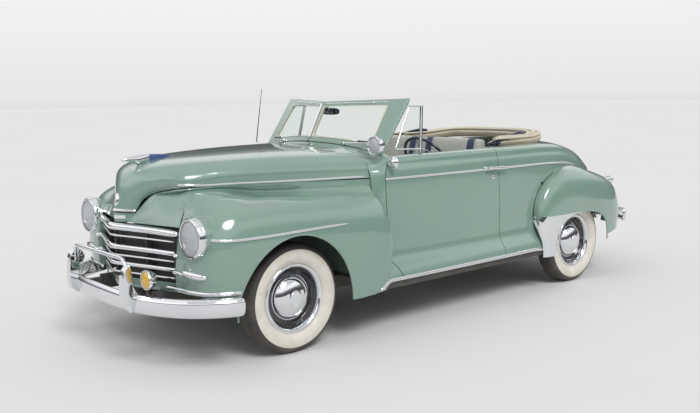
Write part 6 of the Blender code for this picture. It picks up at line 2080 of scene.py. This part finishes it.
@dataclass
class Fittings(Assembly):
    """Spot lamp, door mirror, aerial, tail lamps and the rear bumper."""

    spot: tuple = (0.735, -0.790, 1.267)
    mirror: tuple = (0.812, -0.700, 1.150)
    tail: tuple = (0.755, 2.070, 0.822)
    aerial: tuple = (-0.600, -0.835, 1.214)
    rear_blade: tuple = ((0.0, 2.445), (0.3, 2.44), (0.5, 2.42), (0.66, 2.37), (0.76, 2.31), (0.8, 2.25))
    rear_guard: tuple = ((0.0, 0.44), (0.004, 0.56), (0.03, 0.6), (0.055, 0.58), (0.055, 0.41), (0.02, 0.405))

    def build(self) -> None:
        """Makes them all."""
        self.add_spot()
        self.add_mirror()
        self.add_aerial()
        self.add_rear_bumper()
        for side in Side:
            self.add_tail_lamp(side)

    def add_spot(self) -> None:
        """The spot lamp on the left screen post."""
        shell = ((-0.078, 0.0), (-0.074, 0.02), (-0.06, 0.04), (-0.038, 0.056), (-0.01, 0.0655), (0.006, 0.067),
                 (0.012, 0.0665), (0.016, 0.062), (0.012, 0.057), (-0.03, 0.04), (-0.04, 0.0))
        lens = ((0.010, 0.0570), (0.018, 0.040), (0.022, 0.018), (0.023, 0.0), (0.016, 0.0), (0.004, 0.0560))
        self.piece("spot_lamp_shell", lathe(shell, 72).aimed(FORWARD, self.spot), CHROME,
                   instead=("spot_lamp",))
        self.piece("spot_lamp_lens", lathe(lens, 72).aimed(FORWARD, self.spot), LENS, smooth=60)
        x, y, z = self.spot
        foot = Screen().at(0.965, 0.075)
        stem = np.array(((x, y + 0.040, z), (x, y + 0.058, z - 0.002), tuple(foot + (0.012, 0.004, 0.0)),
                         tuple(foot + (-0.006, 0.012, -0.004))))
        self.piece("spot_lamp_stem", tube(spline(stem, np.linspace(0, 3, 25)), 0.0095, 16), CHROME, smooth=60)

    def add_mirror(self) -> None:
        """The round mirror on the left door."""
        shell = ((-0.02, 0.0), (-0.018, 0.018), (-0.01, 0.036), (0.0, 0.045), (0.007, 0.0465), (0.01, 0.044),
                 (0.007, 0.042), (0.004, 0.0))
        self.piece("door_mirror_head", lathe(shell, 64).aimed(BACKWARD, self.mirror), CHROME, "door_left",
                   instead=("door_mirror",))
        x, y, z = self.mirror
        foot_y, foot_z = y + 0.060, z - 0.045
        foot_x = float(side_x(foot_y, foot_z))
        arm = np.array(((foot_x - 0.008, foot_y, foot_z), (foot_x + 0.012, foot_y - 0.01, foot_z + 0.004),
                        (x - 0.005, y + 0.002, z - 0.030), (x, y - 0.012, z - 0.006)))
        self.piece("door_mirror_arm", tube(spline(arm, np.linspace(0, 3, 25)), 0.006, 14), CHROME, "door_left",
                   smooth=60)

    def add_aerial(self) -> None:
        """The whip aerial on the right of the cowl."""
        base = np.array(self.aerial)
        lean = np.array((0.0, 0.154, 1.0)) * 0.45
        t = np.linspace(0, 1, 12)[:, None]
        self.piece("aerial_rod", tube(base + lean * t, np.linspace(0.0042, 0.0022, 12), 12), ROD,
                   instead=("aerial",), smooth=60)
        cup = ((-0.006, 0.0), (-0.006, 0.020), (0.006, 0.018), (0.020, 0.011), (0.034, 0.008), (0.036, 0.0))
        upright = np.array(((0, 0, -1), (0, 1, 0), (1, 0, 0)))
        self.piece("aerial_base", lathe(cup, 28).aimed(upright, base), CHROME)

    def add_tail_lamp(self, side: Side) -> None:
        """The round tail lamp on the rear fender.

        Args:
            side: The side it is made for.
        """
        shell = ((-0.16, 0.0), (-0.16, 0.01), (-0.1, 0.026), (-0.04, 0.0375), (0.0, 0.042), (0.01, 0.0425),
                 (0.014, 0.0395), (0.01, 0.036), (-0.01, 0.034), (-0.012, 0.0))
        lens = ((0.008, 0.0360), (0.018, 0.026), (0.024, 0.012), (0.0255, 0.0), (0.010, 0.0), (0.002, 0.0350))
        self.piece("tail_lamp_shell", lathe(shell, 56).aimed(BACKWARD, self.tail), CHROME, side=side)
        self.piece("tail_lamp_lens", lathe(lens, 56).aimed(BACKWARD, self.tail), RED_LENS, side=side, smooth=60)

    def add_rear_bumper(self) -> None:
        """The rear blade, its guards and irons."""
        path = np.insert(mirrored_line(self.rear_blade, 121), 2, 0.484, axis=1)
        self.piece("rear_bumper_blade", blade_form(path, -1.0), CHROME, instead=("rear_bumper",), smooth=50)
        guard = slab(softened([(REAR_END - y, z) for y, z in self.rear_guard], 4), 0.352, 0.402, 0)
        for side in Side:
            self.piece("rear_guard", guard, CHROME, side=side, bevel=0.009)
            self.piece("rear_bumper_iron", bar((0.338, 2.282, 0.464), (0.382, 2.425, 0.504)), BLACK, side=side,
                       bevel=0.003)


# The cabin

SEAM_PULL, BAND_DEPTH = 0.018, 0.002


def outline_loop(outline: Array, count: int) -> tuple[Array, Array]:
    """A closed (y, z) outline as a smooth loop, with outward unit normals from central differences.

    Args:
        outline: The outline's points.
        count: How many points to give.

    Returns:
        The loop's points and their normals.
    """
    outline = np.asarray(outline, float)
    knots = np.concatenate([outline[-2:], outline, outline[:3]])
    loop = spline(knots, np.linspace(2, len(outline) + 2, count + 1))[:-1]
    ahead = np.roll(loop, -1, axis=0) - np.roll(loop, 1, axis=0)
    normal = np.stack([ahead[:, 1], -ahead[:, 0]], axis=1)
    normal /= np.linalg.norm(normal, axis=1, keepdims=True)
    return loop, normal * np.sign((normal * (loop - loop.mean(axis=0))).sum(axis=1).mean())


def cushion(outline: Array, x0: float, x1: float, crown: float, rounds: int = 48, across: int = 40,
            power: float = 7.0) -> Form:
    """A stuffed form: a side outline carried across, swelling between its seams.

    At share s from -1 to 1 across, the outline keeps the size (1 - |s|^power)^(1/power) about its middle, and
    grows by crown times (1 - s^2) along its own normals.

    Args:
        outline: The (y, z) outline, closed without a repeated point.
        x0: Where it starts.
        x1: Where it ends.
        crown: How much it swells in the middle.
        rounds: Points round the outline.
        across: Points across.
        power: Squareness of its ends.

    Returns:
        The closed form.
    """
    loop, normal = outline_loop(outline, rounds)
    share = np.sin(np.linspace(-math.pi / 2, math.pi / 2, across))
    share[[0, -1]] = (-0.9995, 0.9995)
    size = np.maximum((1 - np.abs(share) ** power) ** (1 / power), 0.25)
    rows = loop + normal * (crown * (1 - share[:, None, None] ** 2) - SEAM_PULL * (1 - size[:, None, None]))
    xs = (x0 + x1) / 2 + (x1 - x0) / 2 * share
    return grid_form(xyz(xs[:, None], rows[..., 0], rows[..., 1]), round_v=True, caps=True)


def outline_band(outline: Array, x0: float, x1: float, crown: float, lift: float,
                 part: tuple[float, float]) -> Form:
    """A cloth band over a cushion's outline, with its back 2 mm inside it.

    Args:
        outline: The cushion's (y, z) outline.
        x0: Where the band starts across.
        x1: Where it ends.
        crown: How far the cushion swells there, along the outline's normals.
        lift: How far the band's face stands off the cushion.
        part: The shares of the outline's length that it runs between.

    Returns:
        The closed band.
    """
    loop, normal = outline_loop(outline, 240)
    pick = np.unique(np.linspace(part[0] * 239, part[1] * 239, 40).astype(int))
    face = loop[pick] + normal[pick] * (crown + lift)
    back = loop[pick] + normal[pick] * (crown - BAND_DEPTH)
    xs = np.linspace(x0, x1, 7)[:, None]
    return sheet_form(xyz(xs, face[:, 0], face[:, 1]), xyz(xs, back[:, 0], back[:, 1]))


@dataclass
class Cabin(Assembly):
    """Seats, dash, wheel, trims and carpet."""

    front_seat: tuple = ((0.02, 0.353), (-0.07, 0.58), (-0.06, 0.63), (0.02, 0.65), (0.28, 0.642),
                         (0.36, 0.636), (0.44, 0.636), (0.45, 0.6), (0.42, 0.353))
    seat_back: tuple = ((0.372, 0.648), (0.36, 0.75), (0.385, 1.0), (0.418, 1.2), (0.445, 1.252), (0.49, 1.25),
                        (0.512, 1.2), (0.505, 0.95), (0.48, 0.648))
    rear_seat: tuple = ((0.74, 0.353), (0.7, 0.57), (0.715, 0.625), (0.8, 0.64), (1.0, 0.615), (1.1, 0.604),
                        (1.137, 0.56), (0.9315, 0.353))
    rear_back: tuple = ((1.01, 0.6), (1.04, 0.8), (1.082, 1.08), (1.115, 1.13), (1.16, 1.12), (1.172, 1.05),
                        (1.14, 0.604))
    dash: tuple = ((-0.790, 0.930), (-0.790, 1.100), (-0.660, 1.135), (-0.565, 1.110), (-0.545, 0.990),
                   (-0.570, 0.930))
    wheel_centre: tuple = (0.360, 0.115, 1.100)
    wheel_angle: float = math.radians(35)
    wheel_radius: float = 0.212

    def build(self) -> None:
        """Makes everything in the cabin."""
        self.add_seats()
        self.add_dash()
        self.add_steering()
        self.add_trims()

    def soft(self, name: str, form: Form, instead: tuple[str, ...] = (), body: str = "body",
             side: Side | None = None) -> None:
        """One padded piece in the pale hide."""
        piece = self.piece(name, form, HIDE, body, side, instead=instead, smooth=50)

    def add_seats(self) -> None:
        """The front bench, its two backs and the rear seat, each with navy side bands."""
        self.soft("front_bench", cushion(self.front_seat, -0.655, 0.655, 0.006), ("front_seat",))
        self.soft("rear_bench", cushion(self.rear_seat, -0.585, 0.585, 0.006), ("rear_seat",))
        self.soft("rear_backrest", cushion(self.rear_back, -0.585, 0.585, 0.006))
        for side in Side:
            body = f"seat_back_{side.word}"
            self.soft("backrest", cushion(self.seat_back, 0.006, 0.613, 0.005), (body,), body, side)
            for key, x0, x1 in (("outer", 0.500, 0.570), ("inner", 0.060, 0.130)):
                middle = ((x0 + x1) / 2 - 0.31) / 0.3035
                band = outline_band(self.seat_back, x0, x1, 0.005 * (1 - middle ** 2), 0.0006, (0.08, 0.80))
                self.piece(f"backrest_band_{key}", band, NAVY, body, side)
            for key, outline, crown, part in (("bench", self.front_seat, 0.0020, (0.10, 0.62)),
                                              ("rear_bench", self.rear_seat, 0.0016, (0.06, 0.62)),
                                              ("rear_back", self.rear_back, 0.0016, (0.02, 0.66))):
                band = outline_band(outline, 0.435, 0.535, crown, 0.0008, part)
                self.piece(f"{key}_band", band, NAVY, side=side)

    def add_dash(self) -> None:
        """The dash with its instruments, glove-box lid, radio grille and knobs."""
        outline = softened(self.dash, 3)
        self.piece("dash_panel", slab(outline, -0.69, 0.69, 0), ENAMEL, slot="trim", instead=("dashboard",),
                   bevel=0.004)
        for k, (x, r) in enumerate(((0.415, 0.052), (0.285, 0.040), (-0.05, 0.040))):
            dial = ((-0.010, 0.0), (-0.010, r + 0.008), (0.006, r + 0.007), (0.009, r + 0.002), (0.006, r),
                    (0.003, r - 0.001), (0.003, 0.0))
            place = (x, -0.549, 1.052)
            self.piece(f"dial_rim_{k}", lathe(dial, 48).aimed(BACKWARD, place), CHROME)
            face = ((0.001, 0.0), (0.001, r - 0.002), (0.005, r - 0.004), (0.005, 0.0))
            self.piece(f"dial_face_{k}", lathe(face, 40).aimed(BACKWARD, place), IVORY)
            hand = slab(((x - 0.0015, 1.052), (x + 0.0015, 1.052), (x + 0.001, 1.052 + r * 0.8),
                         (x - 0.001, 1.052 + r * 0.8)), -0.5445, -0.5425, 1)
            self.piece(f"dial_hand_{k}", hand, BLACK, slot="plastic")
        lid = pillow((-0.560, -0.560, 0.985), (-0.260, -0.541, 1.100), 8.0, 24)
        self.piece("glove_box_lid", lid, ENAMEL, slot="trim", smooth=50)
        knob_form = lathe(((-0.004, 0.0), (-0.004, 0.006), (0.014, 0.006), (0.016, 0.013), (0.024, 0.014),
                           (0.028, 0.009), (0.029, 0.0)), 24).turned(BACKWARD)
        knobs = [knob_form.moved((x, -0.552, 0.972)) for x in (0.56, 0.5, 0.2, 0.13, 0.06, -0.04, -0.11, -0.18)]
        self.piece("dash_knobs", Form.joined(knobs), IVORY, smooth=50)
        slats = [slab(((0.07, z), (0.19, z), (0.19, z + 0.006), (0.07, z + 0.006)), -0.556, -0.542, 1)
                 for z in np.linspace(1.000, 1.098, 9)]
        self.piece("radio_slats", Form.joined(slats), CHROME)

    def tilted(self, form: Form) -> Form:
        """A form made round the x axis, put on the steering wheel's centre facing the driver.

        Args:
            form: The form.

        Returns:
            The form in place.
        """
        c, s = math.cos(self.wheel_angle), math.sin(self.wheel_angle)
        matrix = np.array(((0, 1, 0), (c, 0, -s), (s, 0, c)))
        return form.aimed(matrix, self.wheel_centre)

    def add_steering(self) -> None:
        """Rim, three spoke pairs, hub, horn ring and the column lever with its knob."""
        turn, inner, r = full_turn(96)[:, None], full_turn(20), self.wheel_radius
        radius = 0.0115 + 0.0012 * np.cos(turn * 40)
        reach = r + radius * np.sin(inner)
        rows = xyz(radius * np.cos(inner), reach * np.cos(turn), reach * np.sin(turn))
        self.piece("steering_rim", self.tilted(grid_form(rows, round_u=True, round_v=True)), DARK_PLASTIC,
                   "steering_wheel", instead=("steering_wheel",), smooth=60)
        spokes = []
        for angle in (math.radians(90), math.radians(210), math.radians(330)):
            for split in (-0.07, 0.07):
                a = angle + split * np.array((3, 1, 1))
                reach = np.array((0.028, 0.5 * r, r))
                path = xyz((-0.030, -0.012, 0.0), reach * np.cos(a), reach * np.sin(a))
                spokes.append(tube(spline(path, np.linspace(0, 2, 13)), 0.0045, 10))
        self.piece("steering_spokes", self.tilted(Form.joined(spokes)), CHROME, "steering_wheel", smooth=60)
        hub = ((-0.060, 0.0), (-0.060, 0.028), (-0.030, 0.036), (-0.014, 0.036), (-0.006, 0.030), (0.0, 0.018),
               (0.002, 0.0))
        self.piece("steering_hub", self.tilted(lathe(hub, 48)), DARK_PLASTIC, "steering_wheel")
        turn = np.linspace(0, 2 * math.pi, 73)
        horn = xyz(-0.016, 0.125 * np.cos(turn), 0.125 * np.sin(turn))
        self.piece("horn_ring", self.tilted(tube(horn, 0.0038, 12)), CHROME, "steering_wheel", smooth=60)
        lever = np.array(((-0.110, 0.02, 0.0), (-0.100, 0.10, 0.02), (-0.085, 0.19, 0.05)))
        self.piece("column_lever", self.tilted(tube(spline(lever, np.linspace(0, 2, 13)), 0.0045, 10)), CHROME)
        knob = pillow((-0.097, 0.178, 0.038), (-0.073, 0.202, 0.062), 2.0, 16)
        self.piece("column_lever_knob", self.tilted(knob), IVORY)

    def inner_face(self, ys: Array, zs: Array) -> Array:
        """Half width of the trims' seat on the doors' inner faces."""
        return np.minimum(side_x(ys, zs) - DOOR_THICK - 0.003, CABIN_X - 0.004)

    def add_trims(self) -> None:
        """Door trims with pleats, their bands, window cranks and the carpet over the tunnel."""
        ys, zs = np.linspace(DOOR_FRONT + 0.030, DOOR_REAR - 0.025, 41), np.linspace(0.46, 1.150, 25)[:, None]
        rise = smoothstep(zs, 0.60, 0.62) * (1 - smoothstep(zs, 0.98, 1.0))
        pleat = 0.0025 * np.abs(np.sin(ys / 0.10 * math.pi)) * rise
        face = xyz(self.inner_face(ys, zs) - pleat, ys, zs)
        zs = np.linspace(1.005, 1.075, 5)[:, None]
        strip = xyz(self.inner_face(ys, zs) - 0.004, ys, zs)
        crank = spline(((0.0, 0.0, 0.0), (-0.03, 0.0, 0.0), (-0.034, -0.05, -0.03), (-0.036, -0.1, -0.06)),
                       np.linspace(0, 3, 19))
        for side in Side:
            body = f"door_{side.word}"
            self.piece("door_trim", sheet_form(face, face + (0.004, 0, 0)), HIDE, body, side, smooth=60)
            self.piece("door_trim_band", sheet_form(strip, strip + (0.004, 0, 0)), NAVY, body, side, smooth=60)
            self.piece("window_crank", tube(crank, 0.006, 12).moved((CABIN_X - 0.006, 0.1, 0.93)), CHROME,
                       body, side, smooth=60)
        xs, ys = np.linspace(-0.690, 0.690, 49)[:, None], np.linspace(-0.800, 0.915, 60)
        floor = xyz(xs, ys, 0.3585 + 0.034 * np.exp(-(xs / 0.13) ** 4))
        self.piece("carpet", sheet_form(floor, floor - (0, 0, 0.005)), CARPET, smooth=60)


@dataclass
class SoftTop(Assembly):
    """The folded top: a padded roll of cloth in a horseshoe, an upper fold, bows over it and side irons."""

    path: tuple = ((0.600, 0.585, 1.213), (0.602, 0.85, 1.213), (0.592, 1.08, 1.216), (0.535, 1.24, 1.230),
                   (0.380, 1.345, 1.243), (0.0, 1.375, 1.247))
    count: int = 181

    def build(self) -> None:
        """Makes the roll, its upper fold, the bows and the hinge irons."""
        path = mirrored_line(self.path[::-1], self.count)[::-1]
        run = np.linspace(-1, 1, self.count)
        size = 1.10 - 0.55 * np.abs(run) ** 2.5
        size[[0, -1]] *= 0.3
        size[[1, -2]] *= 0.8
        turn = full_turn(40)
        profile = oval(0.060, 0.034, 40, 2.5) * (1 + 0.05 * np.sin(5 * turn))[:, None]
        roll = self.piece("top_roll", swept(path, profile, sizes=size), CANVAS, instead=("folded_top",),
                          smooth=60)
        fold = path + (0, 0, 0.020)
        pleats = np.stack([0.048 * np.cos(turn), 0.020 * np.sin(turn) * (1 + 0.10 * np.cos(4 * turn))], axis=1)
        upper = self.piece("top_upper_fold", swept(fold[14:-14], pleats, sizes=size[14:-14] * 0.98), CREAM,
                           slot="canvas", smooth=60)
        for k, (out, up, start, width, thick) in enumerate(((0.040, 0.038, 0, 0.016, 0.010),
                                                           (-0.006, 0.046, 6, 0.018, 0.009),
                                                           (-0.046, 0.040, 14, 0.014, 0.008))):
            bow = (path + frames(path)[1] * out + (0, 0, up))[start:self.count - start]
            self.piece(f"top_bow_{k}", swept(bow, oval(width, thick, 20, 3.0)), CREAM, smooth=60)
        for side in Side:
            irons = []
            for dy, dz0, dz1 in ((0.0, 0.012, 0.062), (0.06, 0.004, 0.054), (0.12, 0.020, 0.050)):
                start = np.array((0.640, 0.500 + dy, 1.195 + dz0))
                end = np.array((0.560, 1.02 + dy * 0.5, 1.222 + dz1))
                steps = start + (end - start) * np.linspace(0, 1, 9)[:, None]
                irons.append(swept(steps, oval(0.008, 0.014, 12, 4), (0.0, 0.0, 1.0)))
            self.piece("top_irons", Form.joined(irons), DARK_PLASTIC, side=side, slot="trim")


def dress_frame() -> None:
    """Gives every CAD node that stays in view a procedural finish."""
    plain = {
        "chassis": BLACK, "engine": IRON, "wheel": WHEEL_BLACK, "tyre": RUBBER, "paint": INNER_ENAMEL,
        "chrome": CHROME, "glass": GLASS, "upholstery": HIDE, "trim": ENAMEL, "canvas": CANVAS,
        "plastic": DARK_PLASTIC,
    }
    slots = {row["node"]: row["material_slot"] for row in frame["record"]["subparts"]}
    for name, node in frame["nodes"].items():
        finish = CORE if name == "radiator" else plain[slots[name]]
        node.data.materials.clear()
        node.data.materials.append(finish.material())


def main() -> None:
    """Builds the stage and every sub-assembly."""
    logging.basicConfig(level=logging.INFO, format="%(name)s: %(message)s")
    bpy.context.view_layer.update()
    Studio().build()
    dress_frame()
    for assembly in (Bodywork(), Wheels(), FrontEnd(), Brightwork(), Screen(), Fittings(), Cabin(), SoftTop()):
        assembly.build()
    bpy.context.view_layer.update()


if __name__ == "__main__":
    main()
